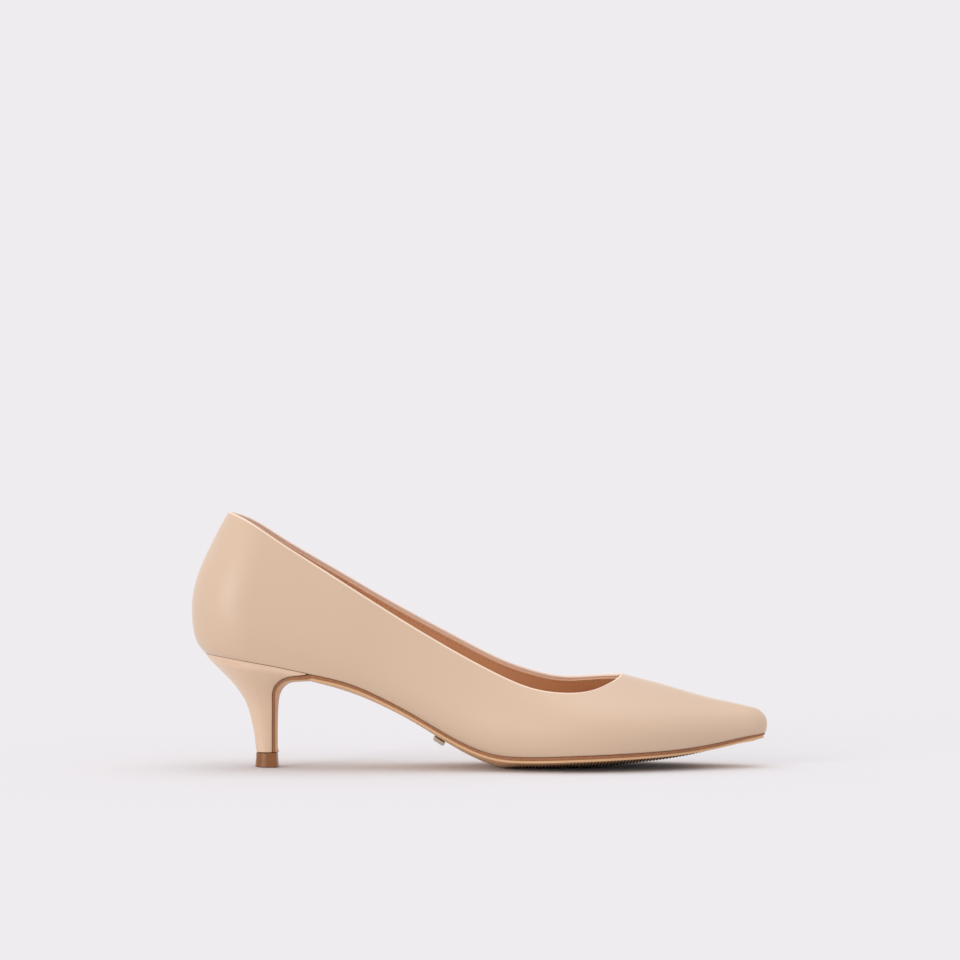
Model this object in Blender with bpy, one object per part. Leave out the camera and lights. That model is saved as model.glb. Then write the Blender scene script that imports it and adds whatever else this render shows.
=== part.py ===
"""Woman's kitten heel pump, right shoe: hollow upper, insole, outsole, covered heel, top lift, sole plate.

Metres, +Z up, toe towards +X, outer (lateral) side towards -Y. The origin is on the floor, under the
middle of the shoe's box. Heights of the last are worked out from the feather line, the edge where the
upper meets the sole. Tables hold shares of the named sizes, one row for each section.
"""
import math

import bmesh
import bpy
import numpy as np

# Whole shoe
LENGTH = 0.258
BALL_WIDTH = 0.076
SEAT_WIDTH = 0.056
HEEL_HEIGHT = 0.0514
BALL_STAND = 0.00615
TOE_SPRING = 0.00965
BACK_TOP = 0.1148
THROAT_TOP = 0.0420
INSTEP = 0.0614

# Upper
WALL = 0.0018
LASTING_MARGIN = 0.0105
FEATHER_RADIUS = 0.0022
HEEL_ROUND = 0.027
TOE_ROUND = 0.007
COLLAR_ROUND_SHARE = 0.5
THROAT_SHARE = 0.745
THROAT_ZONE_SHARE = 0.12
WAIST_FRONT_SHARE = 0.55
WAIST_BLEND_SHARE = 0.25

# Bottom
CLEARANCE = 0.0003
BOTTOM_CROWN = 0.0018
SOLE_INSET = 0.0008
SOLE_EDGE = 0.0024
TREAD_INSET = 0.0012
TREAD_SHARE = 0.42
TREAD_CURVE_POWER = 2.2
NARROW_SHARE = 0.7
INSOLE_THICKNESS = 0.0020
INSOLE_INSET = 0.0042

# Heel
BREAST_SETBACK = 0.0361
FLAP_JOIN = 0.0535
FLAP_THICKNESS = 0.0013
FLAP_BEVEL_SHARE = 0.96
FLAP_GAP_SHARE = 0.01
LIFT_HEIGHT = 0.0066
LIFT_LENGTH = 0.0094
LIFT_WIDTH = 0.0110
LIFT_FLARE = 0.0004
LIFT_FLARE_HEIGHT = 0.0006
LIFT_ROUND_SHARE = 0.4

# Blank plate under the waist
PLATE_FROM_BACK = 0.1113
PLATE_LENGTH = 0.0054
PLATE_WIDTH = 0.0160
PLATE_THICKNESS = 0.0017
PLATE_BEVEL = 0.0003
PLATE_GAP = 0.0004

BACK_X = -LENGTH / 2
TOE_X = LENGTH / 2

# The last. Widths are shares of the width at that place, heights shares of the instep.
LAST_COLUMNS = ("along", "centre", "foot_out", "foot_in", "wide_out", "wide_in",
                "wide_up", "ridge_up", "peak")
LAST_ROWS = (
    (0.000, 0.000, 0.430, 0.430, 0.500, 0.500, 0.326, 1.210, 0.00),
    (0.100, 0.000, 0.430, 0.430, 0.500, 0.500, 0.326, 1.170, 0.00),
    (0.200, 0.000, 0.411, 0.411, 0.482, 0.482, 0.310, 1.080, 0.02),
    (0.300, 0.000, 0.384, 0.366, 0.455, 0.446, 0.277, 1.015, 0.06),
    (0.400, 0.002, 0.357, 0.310, 0.413, 0.389, 0.240, 0.995, 0.14),
    (0.500, 0.005, 0.379, 0.318, 0.420, 0.372, 0.195, 0.940, 0.26),
    (0.580, 0.009, 0.447, 0.382, 0.480, 0.421, 0.172, 0.800, 0.42),
    (0.640, 0.013, 0.487, 0.428, 0.520, 0.461, 0.163, 0.688, 0.54),
    (0.700, 0.017, 0.490, 0.438, 0.523, 0.470, 0.150, 0.608, 0.58),
    (0.745, 0.020, 0.462, 0.416, 0.495, 0.449, 0.139, 0.548, 0.52),
    (0.820, 0.025, 0.375, 0.345, 0.405, 0.372, 0.117, 0.460, 0.48),
    (0.880, 0.028, 0.270, 0.255, 0.296, 0.279, 0.098, 0.372, 0.35),
    (0.940, 0.031, 0.163, 0.160, 0.182, 0.178, 0.073, 0.272, 0.20),
    (1.000, 0.033, 0.066, 0.066, 0.079, 0.079, 0.052, 0.182, 0.05),
)

# Feather line and underside: shares of the heel's rise and of the toe spring
FEATHER_COLUMNS = ("along", "rise", "spring")
FEATHER_ROWS = (
    (0.000, 1.012, 0.000),
    (0.050, 0.978, 0.000),
    (0.100, 0.932, 0.000),
    (0.150, 0.880, 0.000),
    (0.210, 0.807, 0.000),
    (0.250, 0.757, 0.000),
    (0.290, 0.684, 0.000),
    (0.330, 0.580, 0.000),
    (0.370, 0.463, 0.000),
    (0.410, 0.333, 0.000),
    (0.450, 0.202, 0.000),
    (0.490, 0.094, 0.000),
    (0.530, 0.027, 0.010),
    (0.570, 0.004, 0.045),
    (0.610, 0.000, 0.082),
    (0.660, 0.000, 0.138),
    (0.710, 0.000, 0.190),
    (0.760, 0.000, 0.242),
    (0.820, 0.000, 0.318),
    (0.870, 0.000, 0.432),
    (0.920, 0.000, 0.635),
    (0.960, 0.000, 0.838),
    (1.000, 0.000, 1.000),
)
UNDER_COLUMNS = ("along", "rise", "spring")
UNDER_ROWS = (
    (0.200, 0.865, 0.000),
    (0.250, 0.788, 0.000),
    (0.290, 0.711, 0.000),
    (0.330, 0.612, 0.000),
    (0.370, 0.497, 0.000),
    (0.410, 0.362, 0.000),
    (0.450, 0.222, 0.000),
    (0.490, 0.100, 0.000),
    (0.520, 0.032, 0.000),
    (0.545, 0.000, 0.000),
    (0.640, 0.000, 0.000),
    (0.680, 0.000, 0.036),
    (0.720, 0.000, 0.109),
    (0.760, 0.000, 0.205),
    (0.820, 0.000, 0.385),
    (0.870, 0.000, 0.615),
    (0.920, 0.000, 0.960),
    (0.960, 0.000, 1.230),
    (1.000, 0.000, 1.420),
)

# Top edge: shares of the drop from the back to the throat
TOPLINE_COLUMNS = ("along", "out", "in")
TOPLINE_ROWS = (
    (0.000, 1.060, 1.060),
    (0.066, 0.998, 0.998),
    (0.094, 0.957, 0.962),
    (0.149, 0.834, 0.845),
    (0.204, 0.709, 0.727),
    (0.260, 0.583, 0.612),
    (0.314, 0.460, 0.500),
    (0.369, 0.337, 0.391),
    (0.424, 0.220, 0.286),
    (0.479, 0.110, 0.183),
    (0.534, 0.010, 0.085),
    (0.589, -0.067, 0.014),
    (0.645, -0.096, -0.026),
    (0.700, -0.077, -0.016),
    (0.728, -0.038, -0.008),
    (0.737, -0.021, -0.006),
    (0.745, 0.000, 0.000),
    (0.780, 0.150, 0.120),
)

# Curve of the back, as shares of the back's height over the feather line and of the length
BACK_COLUMNS = ("up", "forward")
BACK_ROWS = (
    (0.000, 0.0220),
    (0.060, 0.0105),
    (0.145, 0.0030),
    (0.245, 0.0000),
    (0.370, 0.0000),
    (0.510, 0.0066),
    (0.660, 0.0205),
    (0.780, 0.0345),
    (0.890, 0.0485),
    (1.000, 0.0640),
    (1.120, 0.0830),
)

# Curve of the toe, as shares of the toe's height over the feather line and of the length
TOE_COLUMNS = ("up", "backward")
TOE_ROWS = (
    (0.000, 0.0020),
    (0.300, 0.0000),
    (0.550, 0.0020),
    (0.700, 0.0060),
    (0.820, 0.0115),
    (0.920, 0.0180),
    (1.000, 0.0290),
)

# Front face of the heel, from the top lift up and forward to the waist
BREAST_COLUMNS = ("up", "forward", "half_width", "thickness", "crown")
BREAST_ROWS = (
    (0.000, 0.000, 0.088, 1.00, 0.50),
    (0.146, 0.000, 0.090, 1.00, 0.50),
    (0.318, 0.000, 0.096, 1.00, 0.50),
    (0.491, 0.006, 0.115, 1.00, 0.52),
    (0.634, 0.012, 0.148, 1.00, 0.64),
    (0.749, 0.025, 0.196, 1.00, 1.00),
    (0.835, 0.092, 0.250, 1.00, 1.14),
    (0.898, 0.205, 0.304, 1.00, 1.15),
    (0.941, 0.340, 0.350, 1.02, 1.10),
    (0.970, 0.520, 0.388, 1.15, 1.05),
    (0.986, 0.745, 0.403, 1.40, 1.00),
    (1.000, 1.000, 0.402, 1.60, 1.00),
)

# Back of the heel, row by row with the breast: shares of the seat's height and of the length
HEEL_COLUMNS = ("up", "back", "half_width", "widest")
HEEL_ROWS = (
    (0.000, 0.1112, 0.099, 0.40),
    (0.116, 0.1092, 0.100, 0.40),
    (0.252, 0.1052, 0.106, 0.40),
    (0.392, 0.0995, 0.126, 0.40),
    (0.513, 0.0918, 0.160, 0.40),
    (0.627, 0.0795, 0.210, 0.40),
    (0.717, 0.0668, 0.263, 0.40),
    (0.788, 0.0546, 0.314, 0.41),
    (0.855, 0.0432, 0.356, 0.41),
    (0.910, 0.0338, 0.392, 0.42),
    (0.962, 0.0262, 0.414, 0.42),
)

# Levels of the last: the corner over the feather line ends at one, the widest place is the other
CORNER_SHARE = 0.045
WIDE_SHARE = 0.25

# Row of the breast where the heel's thin front edge ends
HEEL_TIP_PLACE = 10.65

# Steps for reading a slope, along the shoe and along the breast's rows
SLOPE_STEP = 0.002
ROW_STEP = 0.05

# Colours
LEATHER_COLOUR = (0.66, 0.50, 0.38)
SOCK_COLOUR = (0.42, 0.27, 0.18)
SOLE_COLOUR = (0.50, 0.28, 0.15)
LIFT_COLOUR = (0.27, 0.12, 0.06)
PLATE_COLOUR = (0.62, 0.50, 0.38)

# Facets
MERGE_DISTANCE = 1e-6
HEEL_STEPS = 7
QUARTER_STEPS = 12
THROAT_STEPS = 6
VAMP_STEPS = 10
TOE_STEPS = 5
WALL_STEPS = 11
MARGIN_STEPS = 3
CORNER_STEPS = 3
ACROSS_STEPS = 12
SEAT_STEPS = 3
SEAT_ROUND_STEPS = 6


def natural_spline(places, values):
    """Smooth curve through the rows of a table, as a function of place."""
    places = np.asarray(places, float)
    values = np.asarray(values, float)
    gaps = np.diff(places)
    slopes = np.diff(values) / gaps
    count = len(places)
    system = np.eye(count)
    right = np.zeros(count)
    for i in range(1, count - 1):
        system[i, i - 1] = gaps[i - 1]
        system[i, i] = 2 * (gaps[i - 1] + gaps[i])
        system[i, i + 1] = gaps[i]
        right[i] = 6 * (slopes[i] - slopes[i - 1])
    bends = np.linalg.solve(system, right)

    def value(place):
        place = min(max(place, places[0]), places[-1])
        i = int(min(max(np.searchsorted(places, place) - 1, 0), count - 2))
        before = place - places[i]
        after = places[i + 1] - place
        gap = gaps[i]
        cubic = (bends[i] * after ** 3 + bends[i + 1] * before ** 3) / (6 * gap)
        left = (values[i] / gap - bends[i] * gap / 6) * after
        return float(cubic + left + (values[i + 1] / gap - bends[i + 1] * gap / 6) * before)

    return value


def level_spline(places, values):
    """Curve through the rows that never passes a row's value, so that a level stretch stays level."""
    places = np.asarray(places, float)
    values = np.asarray(values, float)
    gaps = np.diff(places)
    slopes = np.diff(values) / gaps
    tangents = np.zeros(len(places))
    tangents[0] = slopes[0]
    tangents[-1] = slopes[-1]
    for i in range(1, len(places) - 1):
        if slopes[i - 1] * slopes[i] > 0:
            tangents[i] = 2 * slopes[i - 1] * slopes[i] / (slopes[i - 1] + slopes[i])

    def value(place):
        place = min(max(place, places[0]), places[-1])
        i = int(min(max(np.searchsorted(places, place) - 1, 0), len(places) - 2))
        t = (place - places[i]) / gaps[i]
        rise = values[i] * (1 + 2 * t) * (1 - t) ** 2 + values[i + 1] * t * t * (3 - 2 * t)
        turn = tangents[i] * t * (1 - t) ** 2 - tangents[i + 1] * t * t * (1 - t)
        return float(rise + gaps[i] * turn)

    return value


def table(columns, rows, spline=natural_spline):
    """One curve for each named column of a table, along its first column."""
    places = [row[0] for row in rows]
    curves = {}
    for index, name in enumerate(columns[1:], 1):
        curves[name] = spline(places, [row[index] for row in rows])
    return curves


LAST = table(LAST_COLUMNS, LAST_ROWS)
FEATHER = table(FEATHER_COLUMNS, FEATHER_ROWS)
UNDER = table(UNDER_COLUMNS, UNDER_ROWS, level_spline)
TOPLINE = table(TOPLINE_COLUMNS, TOPLINE_ROWS)
BACK = table(BACK_COLUMNS, BACK_ROWS)
TOE = table(TOE_COLUMNS, TOE_ROWS)
BREAST_PLACES = list(range(len(BREAST_ROWS)))
BREAST = {name: natural_spline(BREAST_PLACES, [row[i] for row in BREAST_ROWS])
          for i, name in enumerate(BREAST_COLUMNS)}
HEEL_PLACES = list(range(len(HEEL_ROWS)))
HEEL = {name: natural_spline(HEEL_PLACES, [row[i] for row in HEEL_ROWS])
        for i, name in enumerate(HEEL_COLUMNS)}


def side_name(side):
    return "out" if side < 0 else "in"


def share_of_length(x):
    return (x - BACK_X) / LENGTH


def feather_height(x):
    """Height of the feather line over the floor."""
    along = share_of_length(x)
    rise = FEATHER["rise"](along) * (HEEL_HEIGHT - BALL_STAND)
    return BALL_STAND + rise + FEATHER["spring"](along) * TOE_SPRING


def under_height(x):
    """Height of the middle of the outsole's underside over the floor."""
    along = share_of_length(x)
    return UNDER["rise"](along) * (HEEL_HEIGHT - BALL_STAND) + UNDER["spring"](along) * TOE_SPRING


def local_width(along):
    """The seat's width behind the waist, the ball's in front, and a blend between."""
    t = min(max((WAIST_FRONT_SHARE - along) / WAIST_BLEND_SHARE, 0.0), 1.0)
    seat = t * t * (3 - 2 * t)
    return SEAT_WIDTH * seat + BALL_WIDTH * (1 - seat)


def end_round(along, length, heel_round=HEEL_ROUND):
    """Rounds the plan at the heel and at the toe."""
    back = min(along * length / heel_round, 1.0)
    toe = min((1 - along) * length / TOE_ROUND, 1.0)
    return math.sqrt(max(1 - (1 - back) ** 2, 0.0)) * math.sqrt(max(1 - (1 - toe) ** 2, 0.0))


def centre_line(along):
    return LAST["centre"](along) * BALL_WIDTH


def section_height(along, level):
    """Height over the feather line: level 0 is the feather line, 1 the ridge of the last."""
    wide = LAST["wide_up"](along) * INSTEP
    ridge = LAST["ridge_up"](along) * INSTEP
    if level < WIDE_SHARE:
        return wide * level / WIDE_SHARE
    turn = (level - WIDE_SHARE) / (1 - WIDE_SHARE) * math.pi / 2
    return wide + (ridge - wide) * math.sin(turn)


def level_ends(level):
    """Where this level starts at the back and ends at the toe."""
    back_up = section_height(0.0, level) / (BACK_TOP - HEEL_HEIGHT)
    toe_up = section_height(1.0, level) / (LAST["ridge_up"](1.0) * INSTEP)
    return BACK_X + BACK["forward"](back_up) * LENGTH, TOE_X - TOE["backward"](toe_up) * LENGTH


FOOT_BACK_X, FOOT_TOE_X = level_ends(0.0)


def last_point(side, along, level):
    """A point on the outside of the upper, on the last's own form."""
    back, toe = level_ends(level)
    x = back + (toe - back) * along
    foot = LAST["foot_" + side_name(side)](along)
    wide = LAST["wide_" + side_name(side)](along)
    if level < WIDE_SHARE:
        t = level / WIDE_SHARE
        share = foot + (wide - foot) * (1 - (1 - t) ** 2)
    else:
        turn = (level - WIDE_SHARE) / (1 - WIDE_SHARE) * math.pi / 2
        share = wide * math.cos(turn) * (1 - LAST["peak"](along) * math.sin(turn) ** 2)
    heel_round = HEEL_ROUND * max(min(share / wide, 1.0), COLLAR_ROUND_SHARE)
    half = share * local_width(along) * end_round(along, toe - back, heel_round)
    foot_x = FOOT_BACK_X + (FOOT_TOE_X - FOOT_BACK_X) * along
    z = feather_height(foot_x) + section_height(along, level)
    return x, centre_line(along) + side * half, z


def topline_height(side, x):
    share = TOPLINE[side_name(side)](share_of_length(x))
    return THROAT_TOP + share * (BACK_TOP - THROAT_TOP)


def cut_level(side, along):
    """The level where the top edge cuts this section; 1 in front of the throat."""
    if along >= THROAT_SHARE:
        return 1.0
    low = WIDE_SHARE
    high = 1.0
    for _ in range(30):
        middle = (low + high) / 2
        x, _, z = last_point(side, along, middle)
        if z < topline_height(side, x):
            low = middle
        else:
            high = middle
    return low


def foot_along(x):
    """Place along the feather line, 0 at the back and 1 at the toe."""
    return (x - FOOT_BACK_X) / (FOOT_TOE_X - FOOT_BACK_X)


def bottom_height(x, y):
    """Height of the last's bottom: the feather line, lower in the middle by the crown."""
    along = min(max(foot_along(x), 0.0), 1.0)
    centre = centre_line(along)
    half = LAST["foot_" + side_name(y - centre)](along) * local_width(along)
    rounding = end_round(along, FOOT_TOE_X - FOOT_BACK_X)
    hollow = max(rounding ** 2 - ((y - centre) / half) ** 2, 0.0)
    return feather_height(x) - BOTTOM_CROWN * hollow


def eased(inset, limit):
    """An inset that grows slower and slower towards its limit, for narrow places."""
    return limit * (1 - math.exp(-inset / limit))


def bottom_place(side, along, inset):
    """Plan position on an outline inset from the feather line."""
    full = LAST["foot_" + side_name(side)](along) * local_width(along)
    half = full - eased(inset, NARROW_SHARE * full)
    back = FOOT_BACK_X + inset
    toe = FOOT_TOE_X - eased(inset, TOE_ROUND)
    x = back + (toe - back) * along
    return x, centre_line(along) + side * half * end_round(along, toe - back)


def bottom_point(side, along, inset, lift=0.0):
    """A point on the bottom of the last at an inset outline, raised by lift."""
    x, y = bottom_place(side, along, inset)
    return x, y, bottom_height(x, y) + lift


def across_point(along, share, inset, lift):
    """A point across the bottom: share -1 is the outer edge, 1 the inner edge. Lift is square to it."""
    side = -1 if share < 0 else 1
    x, y = bottom_place(side, along, inset)
    centre = centre_line(along)
    y = centre + (y - centre) * abs(share)
    return x, y, bottom_height(x, y) + lift * slope_stretch(x)


def slope_stretch(x):
    """Upright length of a unit square to the bottom where it slopes."""
    slope = (feather_height(x + SLOPE_STEP) - feather_height(x - SLOPE_STEP)) / (2 * SLOPE_STEP)
    return math.sqrt(1 + slope * slope)


def stations():
    """Places along the shoe, closer at the heel, the throat and the toe."""
    heel = HEEL_ROUND / LENGTH
    quarter_end = THROAT_SHARE - THROAT_ZONE_SHARE
    front = 1 - TOE_ROUND / LENGTH
    places = [heel * (1 - math.cos(i / HEEL_STEPS * math.pi / 2)) for i in range(HEEL_STEPS)]
    places += [heel + (quarter_end - heel) * i / QUARTER_STEPS for i in range(QUARTER_STEPS)]
    places += [THROAT_SHARE - THROAT_ZONE_SHARE * (1 - i / THROAT_STEPS) ** 2 for i in range(THROAT_STEPS)]
    places += [THROAT_SHARE + (front - THROAT_SHARE) * i / VAMP_STEPS for i in range(VAMP_STEPS)]
    places += [front + (1 - front) * math.sin(i / TOE_STEPS * math.pi / 2) for i in range(TOE_STEPS + 1)]
    return places


def shares_across():
    return [2 * j / ACROSS_STEPS - 1 for j in range(ACROSS_STEPS + 1)]


def add_grid(mesh, rows, closed=False):
    """Quads between rows of points; closed joins each row's ends."""
    verts = [[mesh.verts.new(point) for point in row] for row in rows]
    width = len(rows[0])
    for first, second in zip(verts, verts[1:]):
        for j in range(width if closed else width - 1):
            k = (j + 1) % width
            mesh.faces.new((first[j], first[k], second[k], second[j]))
    return verts


def merge(mesh):
    bmesh.ops.remove_doubles(mesh, verts=mesh.verts, dist=MERGE_DISTANCE)
    bmesh.ops.dissolve_degenerate(mesh, edges=mesh.edges, dist=MERGE_DISTANCE / 10)


def close_rim(mesh):
    """Joins the open edges of two like sheets, one over the other."""
    merge(mesh)
    edges = [edge for edge in mesh.edges if edge.is_boundary]
    bmesh.ops.bridge_loops(mesh, edges=edges)


def finish(name, mesh, colour, roughness):
    """Merges touching points, turns faces outwards and makes the object."""
    merge(mesh)
    bmesh.ops.recalc_face_normals(mesh, faces=mesh.faces)
    data = bpy.data.meshes.new(name)
    mesh.to_mesh(data)
    mesh.free()
    data.shade_smooth()
    data.set_sharp_from_angle(angle=math.radians(40))
    part = bpy.data.objects.new(name, data)
    bpy.context.collection.objects.link(part)
    material = bpy.data.materials.new(name)
    material.use_nodes = True
    shader = material.node_tree.nodes["Principled BSDF"]
    shader.inputs["Base Color"].default_value = (*colour, 1)
    shader.inputs["Roughness"].default_value = roughness
    shader.inputs["Metallic"].default_value = 0.0
    data.materials.append(material)
    return part


def wall_profile(side, along):
    """Outside of the upper at one station: margin, rounded feather edge, wall up to the top edge."""
    points = []
    for i in range(MARGIN_STEPS):
        inset = LASTING_MARGIN + (FEATHER_RADIUS - LASTING_MARGIN) * i / MARGIN_STEPS
        points.append(bottom_point(side, along, inset))
    under = np.array(bottom_point(side, along, FEATHER_RADIUS))
    edge = np.array(bottom_point(side, along, 0.0))
    wall = np.array(last_point(side, along, CORNER_SHARE))
    for i in range(CORNER_STEPS + 1):
        t = i / CORNER_STEPS
        points.append(tuple(under * (1 - t) ** 2 + edge * 2 * t * (1 - t) + wall * t * t))
    top = cut_level(side, along)
    for i in range(1, WALL_STEPS + 1):
        points.append(last_point(side, along, CORNER_SHARE + (top - CORNER_SHARE) * i / WALL_STEPS))
    return points


def give_wall(mesh, thickness):
    """Closes an open sheet into a wall: an inner sheet along the normals, and rims between the two."""
    merge(mesh)
    bmesh.ops.recalc_face_normals(mesh, faces=mesh.faces)
    widest = max(mesh.verts, key=lambda vert: vert.co.y)
    if widest.normal.y < 0:
        bmesh.ops.reverse_faces(mesh, faces=mesh.faces)
    mesh.normal_update()
    outside = list(mesh.faces)
    rims = [edge for edge in mesh.edges if edge.is_boundary]
    inner = {vert: mesh.verts.new(vert.co - vert.normal * thickness) for vert in list(mesh.verts)}
    for face in outside:
        mesh.faces.new([inner[vert] for vert in reversed(face.verts)])
    for edge in rims:
        first, second = edge.verts
        mesh.faces.new((first, second, inner[second], inner[first]))


def make_upper():
    """One sheet over the last, given its wall inwards."""
    mesh = bmesh.new()
    for side in (-1, 1):
        add_grid(mesh, [wall_profile(side, along) for along in stations()])
    give_wall(mesh, WALL)
    return finish("upper", mesh, LEATHER_COLOUR, 0.45)


def make_insole():
    """A sheet that lies on the turned margin and fills the bottom from wall to wall."""
    mesh = bmesh.new()
    seat = WALL + CLEARANCE
    for lift in (seat, seat + INSOLE_THICKNESS):
        rows = [[across_point(along, share, INSOLE_INSET, lift) for share in shares_across()]
                for along in stations()]
        add_grid(mesh, rows)
    close_rim(mesh)
    return finish("insole", mesh, SOCK_COLOUR, 0.6)


def breast_path(place):
    """Side view of the heel's front face, from the top lift up and forward to the waist."""
    low = LIFT_HEIGHT + CLEARANCE
    join_x = BACK_X + FLAP_JOIN
    breast_x = BACK_X + BREAST_SETBACK
    join_z = feather_height(join_x) - CLEARANCE
    x = breast_x + BREAST["forward"](place) * (join_x - breast_x)
    return np.array((x, low + BREAST["up"](place) * (join_z - low)))


def breast_point(place, share, offset):
    """A point on the front face of the heel, moved outwards from it by offset."""
    after = breast_path(min(place + ROW_STEP, len(BREAST_ROWS) - 1))
    forward = after - breast_path(max(place - ROW_STEP, 0))
    forward /= np.linalg.norm(forward)
    outwards = np.array((forward[1], -forward[0]))
    bulge = BREAST["crown"](place) * BOTTOM_CROWN * (1 - share * share)
    x, z = breast_path(place) + outwards * (offset + bulge)
    return x, BREAST["half_width"](place) * SEAT_WIDTH * share, z


def tread_point(along, share):
    """Underside of the sole: level across the middle, rising to the edge."""
    x, y, top = across_point(along, share, TREAD_INSET, -CLEARANCE)
    edge = feather_height(x) - CLEARANCE - SOLE_EDGE
    middle = min(under_height(x), edge)
    t = max(abs(share) - TREAD_SHARE, 0) / (1 - TREAD_SHARE)
    return x, y, min(middle + (edge - middle) * t ** TREAD_CURVE_POWER, top - FLAP_THICKNESS)


def make_outsole():
    """The flap up the heel's front, the waist and the forepart in one piece."""
    tops = []
    bottoms = []
    last_place = len(BREAST_ROWS) - 1
    for i in range(2 * last_place):
        place = i / 2
        thickness = BREAST["thickness"](place) * FLAP_THICKNESS
        tops.append([breast_point(place, share, CLEARANCE / 2) for share in shares_across()])
        bottoms.append([breast_point(place, FLAP_BEVEL_SHARE * share, thickness) for share in shares_across()])
    join = foot_along(BACK_X + FLAP_JOIN)
    for along in [join] + [place for place in stations() if place > join + FLAP_GAP_SHARE]:
        tops.append([across_point(along, share, SOLE_INSET, -CLEARANCE) for share in shares_across()])
        bottoms.append([tread_point(along, share) for share in shares_across()])
    mesh = bmesh.new()
    add_grid(mesh, tops)
    add_grid(mesh, bottoms)
    close_rim(mesh)
    return finish("outsole", mesh, SOLE_COLOUR, 0.5)


def side_places(widest):
    """Shares from the front of a heel loop to its back, closer at the round end."""
    places = [widest * i / SEAT_STEPS for i in range(SEAT_STEPS)]
    return places + [widest + (1 - widest) * math.sin(i / SEAT_ROUND_STEPS * math.pi / 2)
                     for i in range(SEAT_ROUND_STEPS + 1)]


def round_half(t, widest, front, half):
    """Half width of a heel loop: nearly level sides, then half an ellipse round the back."""
    if t < widest:
        return front + (half - front) * (1 - (1 - t / widest) ** 2)
    return half * math.sqrt(max(1 - ((t - widest) / (1 - widest)) ** 2, 0.0))


def loop(front, sides):
    """Joins a row across the front, its inner side to the back, and its outer side again."""
    inner = [(x, half, z) for x, half, z in sides[1:]]
    outer = [(x, -half, z) for x, half, z in reversed(sides[1:-1])]
    return front + inner + outer


def heel_loop(place):
    """One loop round the heel, level with a row of its front and a row of its back."""
    last = len(HEEL_ROWS) - 1
    front_place = place if place < last else HEEL_TIP_PLACE
    front = [breast_point(front_place, share, -CLEARANCE / 2) for share in shares_across()]
    front_x, front_half, front_z = front[-1]
    low = LIFT_HEIGHT + CLEARANCE
    back_x = BACK_X + HEEL["back"](place) * LENGTH
    back_z = low + HEEL["up"](place) * (HEEL_HEIGHT - low)
    widest = HEEL["widest"](place)
    half = HEEL["half_width"](place) * SEAT_WIDTH
    sides = []
    for t in side_places(widest):
        y = round_half(t, widest, front_half, half)
        sides.append((front_x + (back_x - front_x) * t, y, front_z + (back_z - front_z) * t))
    return loop(front, sides)


def seat_rows():
    """The cupped seat: rows across, from its front tip to the back."""
    tip_x = breast_point(HEEL_TIP_PLACE, 1.0, 0.0)[0]
    tip = foot_along(tip_x)
    widest = 1 - HEEL_ROUND / (tip_x - FOOT_BACK_X)
    return [[across_point(tip * (1 - t), share, CLEARANCE, -CLEARANCE) for share in shares_across()]
            for t in side_places(widest)]


def make_heel():
    """Loops from the top lift up to the seat, closed by the seat's own surface."""
    rows = seat_rows()
    last = len(HEEL_ROWS) - 1
    loops = [heel_loop(i / 2) for i in range(2 * last + 1)]
    loops.append(rows[0] + [row[-1] for row in rows[1:]] + [row[0] for row in reversed(rows[1:-1])])
    mesh = bmesh.new()
    verts = add_grid(mesh, loops, closed=True)
    mesh.faces.new(verts[0])
    add_grid(mesh, rows)
    return finish("heel", mesh, LEATHER_COLOUR, 0.45)


def make_top_lift():
    """Hard tip: level in front, round behind, a little wider at the floor."""
    front_x = BACK_X + HEEL["back"](0) * LENGTH + LIFT_LENGTH
    mesh = bmesh.new()
    loops = []
    for height, spread in ((0.0, 0.0), (LIFT_FLARE_HEIGHT, LIFT_FLARE), (LIFT_HEIGHT, 0.0)):
        half = LIFT_WIDTH / 2 + spread
        front = [(front_x + spread, half * share, height) for share in shares_across()]
        length = LIFT_LENGTH + 2 * spread
        sides = [(front_x + spread - length * t, round_half(t, LIFT_ROUND_SHARE, half, half), height)
                 for t in side_places(LIFT_ROUND_SHARE)]
        loops.append(loop(front, sides))
    verts = add_grid(mesh, loops, closed=True)
    mesh.faces.new(verts[0])
    mesh.faces.new(verts[-1])
    return finish("top_lift", mesh, LIFT_COLOUR, 0.4)


def make_sole_plate():
    """Small blank plate under the waist, square to the slope of the sole there."""
    middle = BACK_X + PLATE_FROM_BACK
    centre = centre_line(foot_along(middle))
    reach = PLATE_LENGTH / 2
    slope = math.atan2(under_height(middle + reach) - under_height(middle - reach), PLATE_LENGTH)
    along = np.array((math.cos(slope), 0, math.sin(slope)))
    down = np.array((math.sin(slope), 0, -math.cos(slope)))
    start = np.array((middle, centre, under_height(middle)))
    mesh = bmesh.new()
    loops = []
    for depth, trim in ((0.0, 0.0), (PLATE_THICKNESS - PLATE_BEVEL, 0.0), (PLATE_THICKNESS, PLATE_BEVEL)):
        corners = []
        for end, side in ((-1, -1), (1, -1), (1, 1), (-1, 1)):
            point = start + along * end * (reach - trim) + down * (PLATE_GAP + depth)
            corners.append(tuple(point + np.array((0, side * (PLATE_WIDTH / 2 - trim), 0))))
        loops.append(corners)
    verts = add_grid(mesh, loops, closed=True)
    mesh.faces.new(verts[0])
    mesh.faces.new(verts[-1])
    return finish("sole_plate", mesh, PLATE_COLOUR, 0.4)


def centre_on_origin(parts):
    """Moves the shoe sideways so that the origin is under the middle of its box."""
    upper = parts[0]
    ys = [vert.co.y for vert in upper.data.vertices]
    for part in parts:
        for vert in part.data.vertices:
            vert.co.y -= (max(ys) + min(ys)) / 2


def main():
    for old in list(bpy.data.objects):
        bpy.data.objects.remove(old)
    parts = [make_upper(), make_insole(), make_outsole(), make_heel(), make_top_lift(), make_sole_plate()]
    centre_on_origin(parts)


main()
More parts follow.
